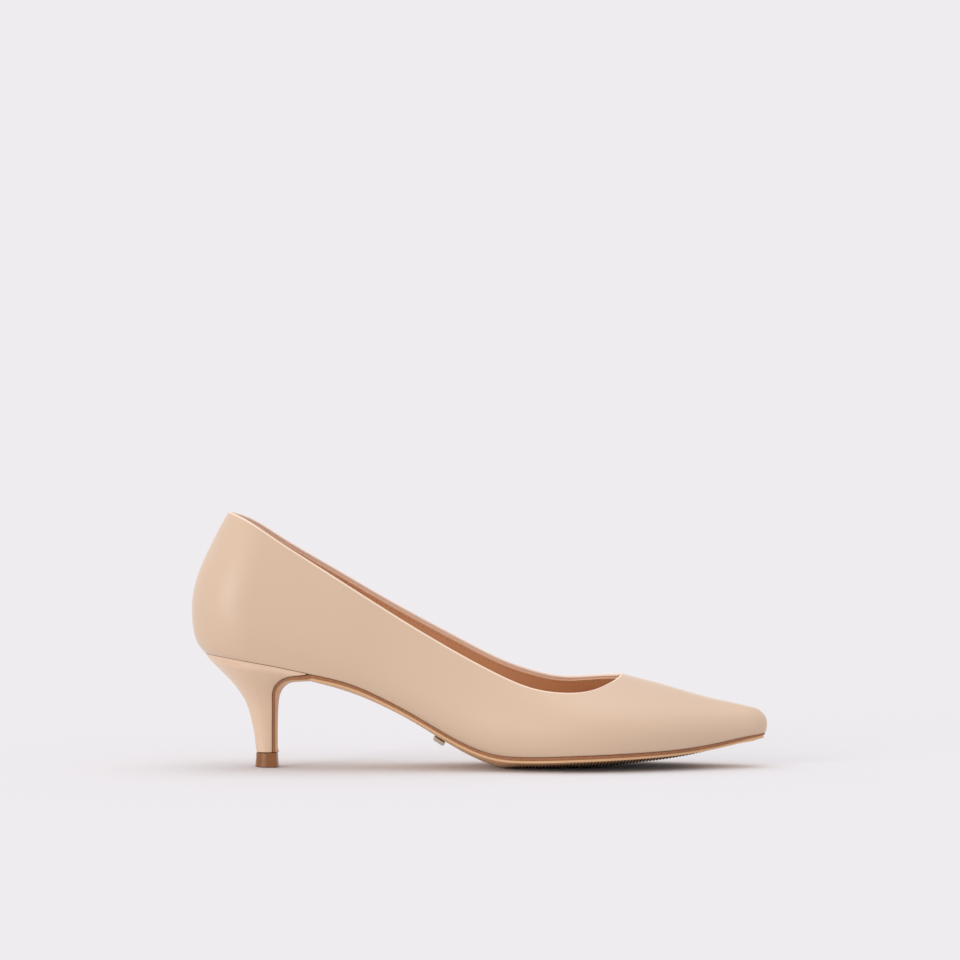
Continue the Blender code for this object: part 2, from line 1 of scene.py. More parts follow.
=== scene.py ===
"""Looks of the nude kitten heel pump: leather, folded top edge, lining, sock, sole, heel and top lift.

The shoe's form follows the same sizes and tables of sections as its solids, on a finer grid.
"""

import math

import bmesh
import bpy
import numpy as np
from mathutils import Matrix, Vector


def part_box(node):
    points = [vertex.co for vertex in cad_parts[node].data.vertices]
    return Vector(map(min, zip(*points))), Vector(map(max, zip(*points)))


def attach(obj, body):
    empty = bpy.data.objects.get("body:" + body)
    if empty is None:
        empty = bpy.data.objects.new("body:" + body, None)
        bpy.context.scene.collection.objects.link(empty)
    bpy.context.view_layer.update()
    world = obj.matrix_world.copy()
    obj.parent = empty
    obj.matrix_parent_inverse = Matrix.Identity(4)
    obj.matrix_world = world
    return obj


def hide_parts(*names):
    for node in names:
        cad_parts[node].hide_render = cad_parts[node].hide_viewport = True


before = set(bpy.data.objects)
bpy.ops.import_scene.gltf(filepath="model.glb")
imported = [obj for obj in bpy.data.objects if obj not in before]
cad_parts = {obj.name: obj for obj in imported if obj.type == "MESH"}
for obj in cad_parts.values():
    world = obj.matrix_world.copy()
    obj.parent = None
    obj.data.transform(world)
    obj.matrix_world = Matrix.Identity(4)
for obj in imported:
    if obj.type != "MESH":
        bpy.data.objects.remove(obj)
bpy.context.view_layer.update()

# Whole shoe, in metres
LENGTH = 0.258
BALL_WIDTH = 0.076
SEAT_WIDTH = 0.056
HEEL_HEIGHT = 0.0514
BALL_STAND = 0.00615
TOE_SPRING = 0.00965
BACK_TOP = 0.1148
THROAT_TOP = 0.0420
INSTEP = 0.0614

# Upper
WALL = 0.0018
LASTING_MARGIN = 0.0105
HEEL_ROUND = 0.027
TOE_ROUND = 0.007
COLLAR_ROUND_SHARE = 0.5
THROAT_SHARE = 0.745
THROAT_ZONE_SHARE = 0.12
WAIST_FRONT_SHARE = 0.55
WAIST_BLEND_SHARE = 0.25

# Bottom
CLEARANCE = 0.0003
BOTTOM_CROWN = 0.0018
SOLE_INSET = 0.0008
SOLE_EDGE = 0.0024
TREAD_INSET = 0.0012
NARROW_SHARE = 0.7
INSOLE_THICKNESS = 0.0020
INSOLE_INSET = 0.0042

# Heel
BREAST_SETBACK = 0.0361
FLAP_JOIN = 0.0535
FLAP_THICKNESS = 0.0013
LIFT_HEIGHT = 0.0066
LIFT_LENGTH = 0.0094
LIFT_WIDTH = 0.0110
LIFT_ROUND_SHARE = 0.4

BACK_X = -LENGTH / 2
TOE_X = LENGTH / 2

# The last. Widths are shares of the width at that place, heights shares of the instep.
LAST_COLUMNS = ("along", "centre", "foot_out", "foot_in", "wide_out", "wide_in",
                "wide_up", "ridge_up", "peak")
LAST_ROWS = (
    (0.000, 0.000, 0.430, 0.430, 0.500, 0.500, 0.326, 1.210, 0.00),
    (0.100, 0.000, 0.430, 0.430, 0.500, 0.500, 0.326, 1.170, 0.00),
    (0.200, 0.000, 0.411, 0.411, 0.482, 0.482, 0.310, 1.080, 0.02),
    (0.300, 0.000, 0.384, 0.366, 0.455, 0.446, 0.277, 1.015, 0.06),
    (0.400, 0.002, 0.357, 0.310, 0.413, 0.389, 0.240, 0.995, 0.14),
    (0.500, 0.005, 0.379, 0.318, 0.420, 0.372, 0.195, 0.940, 0.26),
    (0.580, 0.009, 0.447, 0.382, 0.480, 0.421, 0.172, 0.800, 0.42),
    (0.640, 0.013, 0.487, 0.428, 0.520, 0.461, 0.163, 0.688, 0.54),
    (0.700, 0.017, 0.490, 0.438, 0.523, 0.470, 0.150, 0.608, 0.58),
    (0.745, 0.020, 0.462, 0.416, 0.495, 0.449, 0.139, 0.548, 0.52),
    (0.820, 0.025, 0.375, 0.345, 0.405, 0.372, 0.117, 0.460, 0.48),
    (0.880, 0.028, 0.270, 0.255, 0.296, 0.279, 0.098, 0.372, 0.35),
    (0.940, 0.031, 0.163, 0.160, 0.182, 0.178, 0.073, 0.272, 0.20),
    (1.000, 0.033, 0.066, 0.066, 0.079, 0.079, 0.052, 0.182, 0.05),
)

# Feather line and underside: shares of the heel's rise and of the toe spring
FEATHER_COLUMNS = ("along", "rise", "spring")
FEATHER_ROWS = (
    (0.000, 1.012, 0.000),
    (0.050, 0.978, 0.000),
    (0.100, 0.932, 0.000),
    (0.150, 0.880, 0.000),
    (0.210, 0.807, 0.000),
    (0.250, 0.757, 0.000),
    (0.290, 0.684, 0.000),
    (0.330, 0.580, 0.000),
    (0.370, 0.463, 0.000),
    (0.410, 0.333, 0.000),
    (0.450, 0.202, 0.000),
    (0.490, 0.094, 0.000),
    (0.530, 0.027, 0.010),
    (0.570, 0.004, 0.045),
    (0.610, 0.000, 0.082),
    (0.660, 0.000, 0.138),
    (0.710, 0.000, 0.190),
    (0.760, 0.000, 0.242),
    (0.820, 0.000, 0.318),
    (0.870, 0.000, 0.432),
    (0.920, 0.000, 0.635),
    (0.960, 0.000, 0.838),
    (1.000, 0.000, 1.000),
)
UNDER_COLUMNS = ("along", "rise", "spring")
UNDER_ROWS = (
    (0.200, 0.865, 0.000),
    (0.250, 0.788, 0.000),
    (0.290, 0.711, 0.000),
    (0.330, 0.612, 0.000),
    (0.370, 0.497, 0.000),
    (0.410, 0.362, 0.000),
    (0.450, 0.222, 0.000),
    (0.490, 0.100, 0.000),
    (0.520, 0.032, 0.000),
    (0.545, 0.000, 0.000),
    (0.640, 0.000, 0.000),
    (0.680, 0.000, 0.036),
    (0.720, 0.000, 0.109),
    (0.760, 0.000, 0.205),
    (0.820, 0.000, 0.385),
    (0.870, 0.000, 0.615),
    (0.920, 0.000, 0.960),
    (0.960, 0.000, 1.230),
    (1.000, 0.000, 1.420),
)

# Top edge: shares of the drop from the back to the throat
TOPLINE_COLUMNS = ("along", "out", "in")
TOPLINE_ROWS = (
    (0.000, 1.060, 1.060),
    (0.066, 0.998, 0.998),
    (0.094, 0.957, 0.962),
    (0.149, 0.834, 0.845),
    (0.204, 0.709, 0.727),
    (0.260, 0.583, 0.612),
    (0.314, 0.460, 0.500),
    (0.369, 0.337, 0.391),
    (0.424, 0.220, 0.286),
    (0.479, 0.110, 0.183),
    (0.534, 0.010, 0.085),
    (0.589, -0.067, 0.014),
    (0.645, -0.096, -0.026),
    (0.700, -0.077, -0.016),
    (0.728, -0.038, -0.008),
    (0.737, -0.021, -0.006),
    (0.745, 0.000, 0.000),
    (0.780, 0.150, 0.120),
)

# Curve of the back, as shares of the back's height over the feather line and of the length
BACK_COLUMNS = ("up", "forward")
BACK_ROWS = (
    (0.000, 0.0220),
    (0.060, 0.0105),
    (0.145, 0.0030),
    (0.245, 0.0000),
    (0.370, 0.0000),
    (0.510, 0.0066),
    (0.660, 0.0205),
    (0.780, 0.0345),
    (0.890, 0.0485),
    (1.000, 0.0640),
    (1.120, 0.0830),
)

# Curve of the toe, as shares of the toe's height over the feather line and of the length
TOE_COLUMNS = ("up", "backward")
TOE_ROWS = (
    (0.000, 0.0020),
    (0.300, 0.0000),
    (0.550, 0.0020),
    (0.700, 0.0060),
    (0.820, 0.0115),
    (0.920, 0.0180),
    (1.000, 0.0290),
)

# Front face of the heel, from the top lift up and forward to the waist
BREAST_COLUMNS = ("up", "forward", "half_width", "thickness", "crown")
BREAST_ROWS = (
    (0.000, 0.000, 0.088, 1.00, 0.50),
    (0.146, 0.000, 0.090, 1.00, 0.50),
    (0.318, 0.000, 0.096, 1.00, 0.50),
    (0.491, 0.006, 0.115, 1.00, 0.52),
    (0.634, 0.012, 0.148, 1.00, 0.64),
    (0.749, 0.025, 0.196, 1.00, 1.00),
    (0.835, 0.092, 0.250, 1.00, 1.14),
    (0.898, 0.205, 0.304, 1.00, 1.15),
    (0.941, 0.340, 0.350, 1.02, 1.10),
    (0.970, 0.520, 0.388, 1.15, 1.05),
    (0.986, 0.745, 0.403, 1.40, 1.00),
    (1.000, 1.000, 0.402, 1.60, 1.00),
)

# Back of the heel, row by row with the breast: shares of the seat's height and of the length
HEEL_COLUMNS = ("up", "back", "half_width", "widest")
HEEL_ROWS = (
    (0.000, 0.1112, 0.099, 0.40),
    (0.116, 0.1092, 0.100, 0.40),
    (0.252, 0.1052, 0.106, 0.40),
    (0.392, 0.0995, 0.126, 0.40),
    (0.513, 0.0918, 0.160, 0.40),
    (0.627, 0.0795, 0.210, 0.40),
    (0.717, 0.0668, 0.263, 0.40),
    (0.788, 0.0546, 0.314, 0.41),
    (0.855, 0.0432, 0.356, 0.41),
    (0.910, 0.0338, 0.392, 0.42),
    (0.962, 0.0262, 0.414, 0.42),
)

# Level of the last's widest place
WIDE_SHARE = 0.25

# Row of the breast where the heel's thin front edge ends
HEEL_TIP_PLACE = 10.65

# Steps for reading a slope, along the shoe and along the breast's rows
SLOPE_STEP = 0.002
ROW_STEP = 0.05

# Upper's layers: the folded leather, the lining set under its top edge, and the lining's stitches
LEATHER = 0.00130
RIM_RADIUS = 0.00055
LINING_DROP = 0.0018
LINING_THICKNESS = 0.00045
LINING_LIP = 0.0005
STITCH_DROP = 0.0013
STITCH_PITCH = 0.0024
STITCH_LENGTH = 0.0017
STITCH_THICKNESS = 0.00034

# Seams: round the heel's seat, and up the middle of the back
SEAM_INSET = 0.00035
SEAM_LIFT = 0.0001
SEAM_RADIUS = 0.00022
SEAM_STEPS = 60
SEAM_SIDES = 8
BACK_SEAM_HALF = 0.0004
BACK_SEAM_FRONT = -0.100
BACK_SEAM_FADE = 0.004

# Leather's tight corner over the sole, and its rows, closer towards the top edge
TIGHT_RADIUS = 0.0009
TIGHT_SHARE = 0.010
TOP_CLOSER = 2.0

# Round the throat, where the distance to the top edge is read straight
THROAT_NEAR = 0.020
THROAT_BEHIND = 0.004
THROAT_AHEAD = 0.006
THROAT_UPWARD = 0.2

# Sock over the insole
SOCK_EDGE = 0.0004
SOCK_SOFT = 0.0007
SOCK_STEPS = (16, 30, 10, 16, 10)

# Sole's grid along the shoe, and its least distance from the flap's last row
SOLE_STEPS = (34, 90, 20, 60, 14)
JOIN_GAP = 0.004

# Sole's edge and tread
BAND_HEIGHT = 0.0020
BAND_PROUD = 0.00025
BAND_DEPTH = 0.0007
BAND_GAP = -0.00035
FLAP_BAND_START = -0.00015
FLAT_SHARE = 0.18
FLAT_CURVE_POWER = 1.6
BAND_FLAP_SHARE = 0.9
BAND_ROOM_SHARE = 0.92
FLAP_TOP_SHARE = 0.985
FLAP_FRONT_SHARE = 0.965
FLAP_KICK = 0.0006
FLAP_KICK_PLACES = 0.4
RIB_PITCH = 0.0015
RIB_HEIGHT = 0.0005
RIB_RADIUS = 0.00042
RIB_REACH = 0.93
RIB_FROM = 0.138
RIB_TO = 0.2325
RIB_NARROW = 0.45
RIB_SPREAD = 45
RIB_FADE = 0.01
RIB_EDGE_POWER = 8
RIB_SIDES = 6

# Top lift and plate: their softened edges
TIP_EDGE = 0.0004
TIP_BULGE = 0.0001
PLATE_SOFT = 0.00022
PLATE_SOFT_STEPS = 3

# Stage
FLOOR_REACH = 60.0
BACKDROP_COLOUR = (0.863, 0.839, 0.871)
SUNS = (("key", (-1.0, -1.0, 0.35), 0.90, 30), ("top", (0.1, 0.1, 1.0), 0.66, 50))
CAMERA_DISTANCE = 1.6
CAMERA_HEIGHT = 0.1286
PHOTO_WIDTH = 0.4303
SENSOR = 36.0

# Fine grid
HEEL_STEPS = 34
QUARTER_STEPS = 70
THROAT_STEPS = 34
VAMP_STEPS = 50
TOE_STEPS = 22
WALL_STEPS = 56
MARGIN_STEPS = 3
CORNER_STEPS = 6
ACROSS_STEPS = 40
BETWEEN_ROWS = 8
SEARCH_STEPS = 200
SHARP_ANGLE = 45

# Depths of the finishes' relief
GRAIN_DEPTH = 0.00002
FINE_DEPTH = 0.000012
COARSE_DEPTH = 0.00006

# Points that count as one, edges that count as none, and nearly level faces, in metres and radians
SAME_PLACE = 1e-6
MERGE_DISTANCE = 2e-6
NO_LENGTH = 1e-7
NEARLY_FLAT = 0.02


# The shoe's form

def natural_spline(places, values):
    """Smooth curve through the rows of a table, as a function of place."""
    places = np.asarray(places, float)
    values = np.asarray(values, float)
    gaps = np.diff(places)
    slopes = np.diff(values) / gaps
    count = len(places)
    system = np.eye(count)
    right = np.zeros(count)
    for i in range(1, count - 1):
        system[i, i - 1] = gaps[i - 1]
        system[i, i] = 2 * (gaps[i - 1] + gaps[i])
        system[i, i + 1] = gaps[i]
        right[i] = 6 * (slopes[i] - slopes[i - 1])
    bends = np.linalg.solve(system, right)

    def value(place):
        place = min(max(place, places[0]), places[-1])
        i = int(min(max(np.searchsorted(places, place) - 1, 0), count - 2))
        before = place - places[i]
        after = places[i + 1] - place
        gap = gaps[i]
        cubic = (bends[i] * after ** 3 + bends[i + 1] * before ** 3) / (6 * gap)
        left = (values[i] / gap - bends[i] * gap / 6) * after
        return float(cubic + left + (values[i + 1] / gap - bends[i + 1] * gap / 6) * before)

    return value


def level_spline(places, values):
    """Curve through the rows that never passes a row's value, so that a level stretch stays level."""
    places = np.asarray(places, float)
    values = np.asarray(values, float)
    gaps = np.diff(places)
    slopes = np.diff(values) / gaps
    tangents = np.zeros(len(places))
    tangents[0] = slopes[0]
    tangents[-1] = slopes[-1]
    for i in range(1, len(places) - 1):
        if slopes[i - 1] * slopes[i] > 0:
            tangents[i] = 2 * slopes[i - 1] * slopes[i] / (slopes[i - 1] + slopes[i])

    def value(place):
        place = min(max(place, places[0]), places[-1])
        i = int(min(max(np.searchsorted(places, place) - 1, 0), len(places) - 2))
        t = (place - places[i]) / gaps[i]
        rise = values[i] * (1 + 2 * t) * (1 - t) ** 2 + values[i + 1] * t * t * (3 - 2 * t)
        turn = tangents[i] * t * (1 - t) ** 2 - tangents[i + 1] * t * t * (1 - t)
        return float(rise + gaps[i] * turn)

    return value


def table(columns, rows, spline=natural_spline):
    """One curve for each named column of a table, along its first column."""
    places = [row[0] for row in rows]
    curves = {}
    for index, name in enumerate(columns[1:], 1):
        curves[name] = spline(places, [row[index] for row in rows])
    return curves


LAST = table(LAST_COLUMNS, LAST_ROWS)
FEATHER = table(FEATHER_COLUMNS, FEATHER_ROWS)
UNDER = table(UNDER_COLUMNS, UNDER_ROWS, level_spline)
TOPLINE = table(TOPLINE_COLUMNS, TOPLINE_ROWS)
BACK = table(BACK_COLUMNS, BACK_ROWS)
TOE = table(TOE_COLUMNS, TOE_ROWS)
BREAST_PLACES = list(range(len(BREAST_ROWS)))
BREAST = {name: natural_spline(BREAST_PLACES, [row[i] for row in BREAST_ROWS])
          for i, name in enumerate(BREAST_COLUMNS)}
HEEL_PLACES = list(range(len(HEEL_ROWS)))
HEEL = {name: natural_spline(HEEL_PLACES, [row[i] for row in HEEL_ROWS])
        for i, name in enumerate(HEEL_COLUMNS)}


def side_name(side):
    """The name of a side in the tables' columns."""
    return "out" if side < 0 else "in"


def share_of_length(x):
    """Place along the whole shoe, 0 at the back and 1 at the toe."""
    return (x - BACK_X) / LENGTH


def feather_height(x):
    """Height of the feather line over the floor."""
    along = share_of_length(x)
    rise = FEATHER["rise"](along) * (HEEL_HEIGHT - BALL_STAND)
    return BALL_STAND + rise + FEATHER["spring"](along) * TOE_SPRING


def under_height(x):
    """Height of the middle of the outsole's underside over the floor."""
    along = share_of_length(x)
    return UNDER["rise"](along) * (HEEL_HEIGHT - BALL_STAND) + UNDER["spring"](along) * TOE_SPRING


def local_width(along):
    """The seat's width behind the waist, the ball's in front, and a blend between."""
    t = min(max((WAIST_FRONT_SHARE - along) / WAIST_BLEND_SHARE, 0.0), 1.0)
    seat = t * t * (3 - 2 * t)
    return SEAT_WIDTH * seat + BALL_WIDTH * (1 - seat)


def end_round(along, length, heel_round=HEEL_ROUND):
    """Rounds the plan at the heel and at the toe."""
    back = min(along * length / heel_round, 1.0)
    toe = min((1 - along) * length / TOE_ROUND, 1.0)
    return math.sqrt(max(1 - (1 - back) ** 2, 0.0)) * math.sqrt(max(1 - (1 - toe) ** 2, 0.0))


def centre_line(along):
    """Sideways place of the last's middle, which turns inwards towards the toe."""
    return LAST["centre"](along) * BALL_WIDTH


def section_height(along, level):
    """Height over the feather line: level 0 is the feather line, 1 the ridge of the last."""
    wide = LAST["wide_up"](along) * INSTEP
    ridge = LAST["ridge_up"](along) * INSTEP
    if level < WIDE_SHARE:
        return wide * level / WIDE_SHARE
    turn = (level - WIDE_SHARE) / (1 - WIDE_SHARE) * math.pi / 2
    return wide + (ridge - wide) * math.sin(turn)


def level_ends(level):
    """Where this level starts at the back and ends at the toe."""
    back_up = section_height(0.0, level) / (BACK_TOP - HEEL_HEIGHT)
    toe_up = section_height(1.0, level) / (LAST["ridge_up"](1.0) * INSTEP)
    return BACK_X + BACK["forward"](back_up) * LENGTH, TOE_X - TOE["backward"](toe_up) * LENGTH


FOOT_BACK_X, FOOT_TOE_X = level_ends(0.0)


def last_point(side, along, level):
    """A point on the outside of the upper, on the last's own form."""
    back, toe = level_ends(level)
    x = back + (toe - back) * along
    foot = LAST["foot_" + side_name(side)](along)
    wide = LAST["wide_" + side_name(side)](along)
    if level < WIDE_SHARE:
        t = level / WIDE_SHARE
        share = foot + (wide - foot) * (1 - (1 - t) ** 2)
    else:
        turn = (level - WIDE_SHARE) / (1 - WIDE_SHARE) * math.pi / 2
        share = wide * math.cos(turn) * (1 - LAST["peak"](along) * math.sin(turn) ** 2)
    heel_round = HEEL_ROUND * max(min(share / wide, 1.0), COLLAR_ROUND_SHARE)
    half = share * local_width(along) * end_round(along, toe - back, heel_round)
    foot_x = FOOT_BACK_X + (FOOT_TOE_X - FOOT_BACK_X) * along
    z = feather_height(foot_x) + section_height(along, level)
    return x, centre_line(along) + side * half, z


def topline_height(side, x):
    """Height of the top edge over the floor."""
    share = TOPLINE[side_name(side)](share_of_length(x))
    return THROAT_TOP + share * (BACK_TOP - THROAT_TOP)


def cut_level(side, along):
    """The level where the top edge cuts this section; 1 in front of the throat."""
    if along >= THROAT_SHARE:
        return 1.0
    low = WIDE_SHARE
    high = 1.0
    for _ in range(30):
        middle = (low + high) / 2
        x, _, z = last_point(side, along, middle)
        if z < topline_height(side, x):
            low = middle
        else:
            high = middle
    return low


def foot_along(x):
    """Place along the feather line, 0 at the back and 1 at the toe."""
    return (x - FOOT_BACK_X) / (FOOT_TOE_X - FOOT_BACK_X)


def bottom_height(x, y):
    """Height of the last's bottom: the feather line, lower in the middle by the crown."""
    along = min(max(foot_along(x), 0.0), 1.0)
    centre = centre_line(along)
    half = LAST["foot_" + side_name(y - centre)](along) * local_width(along)
    rounding = end_round(along, FOOT_TOE_X - FOOT_BACK_X)
    hollow = max(rounding ** 2 - ((y - centre) / half) ** 2, 0.0)
    return feather_height(x) - BOTTOM_CROWN * hollow


def eased(inset, limit):
    """An inset that grows slower and slower towards its limit, for narrow places."""
    return limit * (1 - math.exp(-inset / limit))


def bottom_place(side, along, inset):
    """Plan position on an outline inset from the feather line."""
    full = LAST["foot_" + side_name(side)](along) * local_width(along)
    half = full - eased(inset, NARROW_SHARE * full)
    back = FOOT_BACK_X + inset
    toe = FOOT_TOE_X - eased(inset, TOE_ROUND)
    x = back + (toe - back) * along
    return x, centre_line(along) + side * half * end_round(along, toe - back)


def bottom_point(side, along, inset, lift=0.0):
    """A point on the bottom of the last at an inset outline, raised by lift."""
    x, y = bottom_place(side, along, inset)
    return x, y, bottom_height(x, y) + lift


def across_point(along, share, inset, lift):
    """A point across the bottom: share -1 is the outer edge, 1 the inner edge. Lift is square to it."""
    side = -1 if share < 0 else 1
    x, y = bottom_place(side, along, inset)
    centre = centre_line(along)
    y = centre + (y - centre) * abs(share)
    return x, y, bottom_height(x, y) + lift * slope_stretch(x)


def slope_stretch(x):
    """Upright length of a unit square to the bottom where it slopes."""
    slope = (feather_height(x + SLOPE_STEP) - feather_height(x - SLOPE_STEP)) / (2 * SLOPE_STEP)
    return math.sqrt(1 + slope * slope)


def breast_path(place):
    """Side view of the heel's front face, from the top lift up and forward to the waist."""
    low = LIFT_HEIGHT + CLEARANCE
    join_x = BACK_X + FLAP_JOIN
    breast_x = BACK_X + BREAST_SETBACK
    join_z = feather_height(join_x) - CLEARANCE
    x = breast_x + BREAST["forward"](place) * (join_x - breast_x)
    return np.array((x, low + BREAST["up"](place) * (join_z - low)))


def breast_point(place, share, offset):
    """A point on the front face of the heel, moved outwards from it by offset."""
    after = breast_path(min(place + ROW_STEP, len(BREAST_ROWS) - 1))
    forward = after - breast_path(max(place - ROW_STEP, 0))
    forward /= np.linalg.norm(forward)
    outwards = np.array((forward[1], -forward[0]))
    bulge = BREAST["crown"](place) * BOTTOM_CROWN * (1 - share * share)
    x, z = breast_path(place) + outwards * (offset + bulge)
    return x, BREAST["half_width"](place) * SEAT_WIDTH * share, z


def round_half(t, widest, front, half):
    """Half width of a heel loop: nearly level sides, then half an ellipse round the back."""
    if t < widest:
        return front + (half - front) * (1 - (1 - t / widest) ** 2)
    return half * math.sqrt(max(1 - ((t - widest) / (1 - widest)) ** 2, 0.0))


def stations(heel=HEEL_STEPS, quarter=QUARTER_STEPS, throat=THROAT_STEPS, vamp=VAMP_STEPS, toe=TOE_STEPS):
    """Places along the shoe, closer at the heel, the throat and the toe."""
    heel_end = HEEL_ROUND / LENGTH
    quarter_end = THROAT_SHARE - THROAT_ZONE_SHARE
    front = 1 - TOE_ROUND / LENGTH
    places = [heel_end * (1 - math.cos(i / heel * math.pi / 2)) for i in range(heel)]
    places += [heel_end + (quarter_end - heel_end) * i / quarter for i in range(quarter)]
    places += [THROAT_SHARE - THROAT_ZONE_SHARE * (1 - i / throat) ** 2 for i in range(throat)]
    places += [THROAT_SHARE + (front - THROAT_SHARE) * i / vamp for i in range(vamp)]
    places += [front + (1 - front) * math.sin(i / toe * math.pi / 2) for i in range(toe + 1)]
    return places


def shares_across():
    """Places across the shoe, -1 at the outer edge and 1 at the inner edge."""
    return [2 * j / ACROSS_STEPS - 1 for j in range(ACROSS_STEPS + 1)]


def shoe_shift():
    """Sideways place of the last's axis in the frame, read from the upper's box."""
    low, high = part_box("upper")
    places = [place / SEARCH_STEPS for place in range(SEARCH_STEPS // 2, SEARCH_STEPS)]
    outer = min(last_point(-1, along, WIDE_SHARE)[1] for along in places)
    inner = max(last_point(1, along, WIDE_SHARE)[1] for along in places)
    return (low.y + high.y) / 2 - (inner + outer) / 2


# Mesh making

def add_grid(mesh, rows, closed=False):
    """Quads between rows of points; closed joins each row's ends."""
    verts = [[mesh.verts.new(point) for point in row] for row in rows]
    width = len(rows[0])
    for first, second in zip(verts, verts[1:]):
        for j in range(width if closed else width - 1):
            k = (j + 1) % width
            mesh.faces.new((first[j], first[k], second[k], second[j]))
    return verts


def merge(mesh):
    """Joins points in one place and drops faces without an area."""
    bmesh.ops.remove_doubles(mesh, verts=mesh.verts, dist=MERGE_DISTANCE)
    bmesh.ops.dissolve_degenerate(mesh, edges=mesh.edges, dist=NO_LENGTH)


def closed_tube(mesh, loops):
    """Joins loops one after another and closes both ends."""
    verts = add_grid(mesh, loops, closed=True)
    mesh.faces.new(verts[0])
    mesh.faces.new(verts[-1])
    return verts


def close_rim(mesh):
    """Joins the open edges of two like sheets, one over the other."""
    merge(mesh)
    bmesh.ops.bridge_loops(mesh, edges=[edge for edge in mesh.edges if edge.is_boundary])


def turn_outwards(mesh):
    """Faces of an open sheet over the last look away from the foot."""
    bmesh.ops.recalc_face_normals(mesh, faces=mesh.faces)
    mesh.normal_update()
    widest = max(mesh.verts, key=lambda vert: vert.co.y)
    if widest.normal.y < 0:
        bmesh.ops.reverse_faces(mesh, faces=mesh.faces)
    mesh.normal_update()


def give_wall(mesh, outer_depth, inner_depth):
    """Turns a sheet over the last into a closed wall between two depths, as functions of the vertex.

    Returns the new vertices, on the inside.
    """
    outside = list(mesh.faces)
    rims = [edge for edge in mesh.edges if edge.is_boundary]
    verts = list(mesh.verts)
    inner = {vert: mesh.verts.new(vert.co - vert.normal * inner_depth(vert)) for vert in verts}
    moved = {vert: vert.co - vert.normal * outer_depth(vert) for vert in verts}
    for vert, place in moved.items():
        vert.co = place
    for face in outside:
        mesh.faces.new([inner[vert] for vert in reversed(face.verts)])
    for edge in rims:
        first, second = edge.verts
        mesh.faces.new((first, second, inner[second], inner[first]))
    return inner.values()


def new_object(name, data):
    """A new object of the scene that shows data."""
    made = bpy.data.objects.new(name, data)
    bpy.context.collection.objects.link(made)
    return made


def mesh_data(name, mesh):
    """Ends the work on a mesh and keeps it as data."""
    data = bpy.data.meshes.new(name)
    mesh.to_mesh(data)
    mesh.free()
    return data


def make_piece(name, mesh, material, replaced=()):
    """Finishes a mesh as a piece of the shoe, in the frame's place."""
    bmesh.ops.recalc_face_normals(mesh, faces=mesh.faces)
    for vert in mesh.verts:
        vert.co.y += SHIFT
    data = mesh_data(name, mesh)
    data.shade_smooth()
    data.set_sharp_from_angle(angle=math.radians(SHARP_ANGLE))
    piece = new_object(name, data)
    data.materials.append(material)
    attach(piece, "root")
    if replaced:
        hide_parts(*replaced)
    return piece


# Nodes

def set_inputs(node, values):
    """Values on a node's own inputs, by their names or numbers."""
    for label, value in values.items():
        node.inputs[label].default_value = value
    return node


def wire(tree, *ways):
    """Links nodes of a tree, each way from a node's output to another node's input."""
    for source, output, target, entry in ways:
        tree.links.new(source.outputs[output], target.inputs[entry])


def new_group(name, kind, inputs, outputs):
    """A node group with sockets by name; one with no value holds geometry, the others a float."""
    group = bpy.data.node_groups.new(name, kind)
    for way, sockets in (("INPUT", inputs), ("OUTPUT", outputs)):
        for label, value in sockets.items():
            holds = "NodeSocketGeometry" if value is None else "NodeSocketFloat"
            socket = group.interface.new_socket(label, in_out=way, socket_type=holds)
            if value is not None:
                socket.default_value = value
    return group, group.nodes.new("NodeGroupInput"), group.nodes.new("NodeGroupOutput")


# What repeats, by Geometry Nodes

def end_growth(group, source, output, out, material):
    """Realizes the instances and sets the material."""
    real = group.nodes.new("GeometryNodeRealizeInstances")
    dressed = set_inputs(group.nodes.new("GeometryNodeSetMaterial"), {"Material": material})
    wire(group, (source, output, real, "Geometry"), (real, "Geometry", dressed, "Geometry"),
         (dressed, "Geometry", out, "Grown"))
    return group


def rib_nodes(material):
    """A round bar along every line."""
    group, given, out = new_group("tread ribs", "GeometryNodeTree",
                                  {"Line": None, "Radius": 0.0}, {"Grown": None})
    nodes = group.nodes
    curve = nodes.new("GeometryNodeMeshToCurve")
    section = set_inputs(nodes.new("GeometryNodeCurvePrimitiveCircle"), {"Resolution": RIB_SIDES})
    bar = set_inputs(nodes.new("GeometryNodeCurveToMesh"), {"Fill Caps": True})
    wire(group, (given, "Line", curve, "Mesh"), (given, "Radius", section, "Radius"),
         (curve, "Curve", bar, "Curve"), (section, "Curve", bar, "Profile Curve"))
    return end_growth(group, bar, "Mesh", out, material)


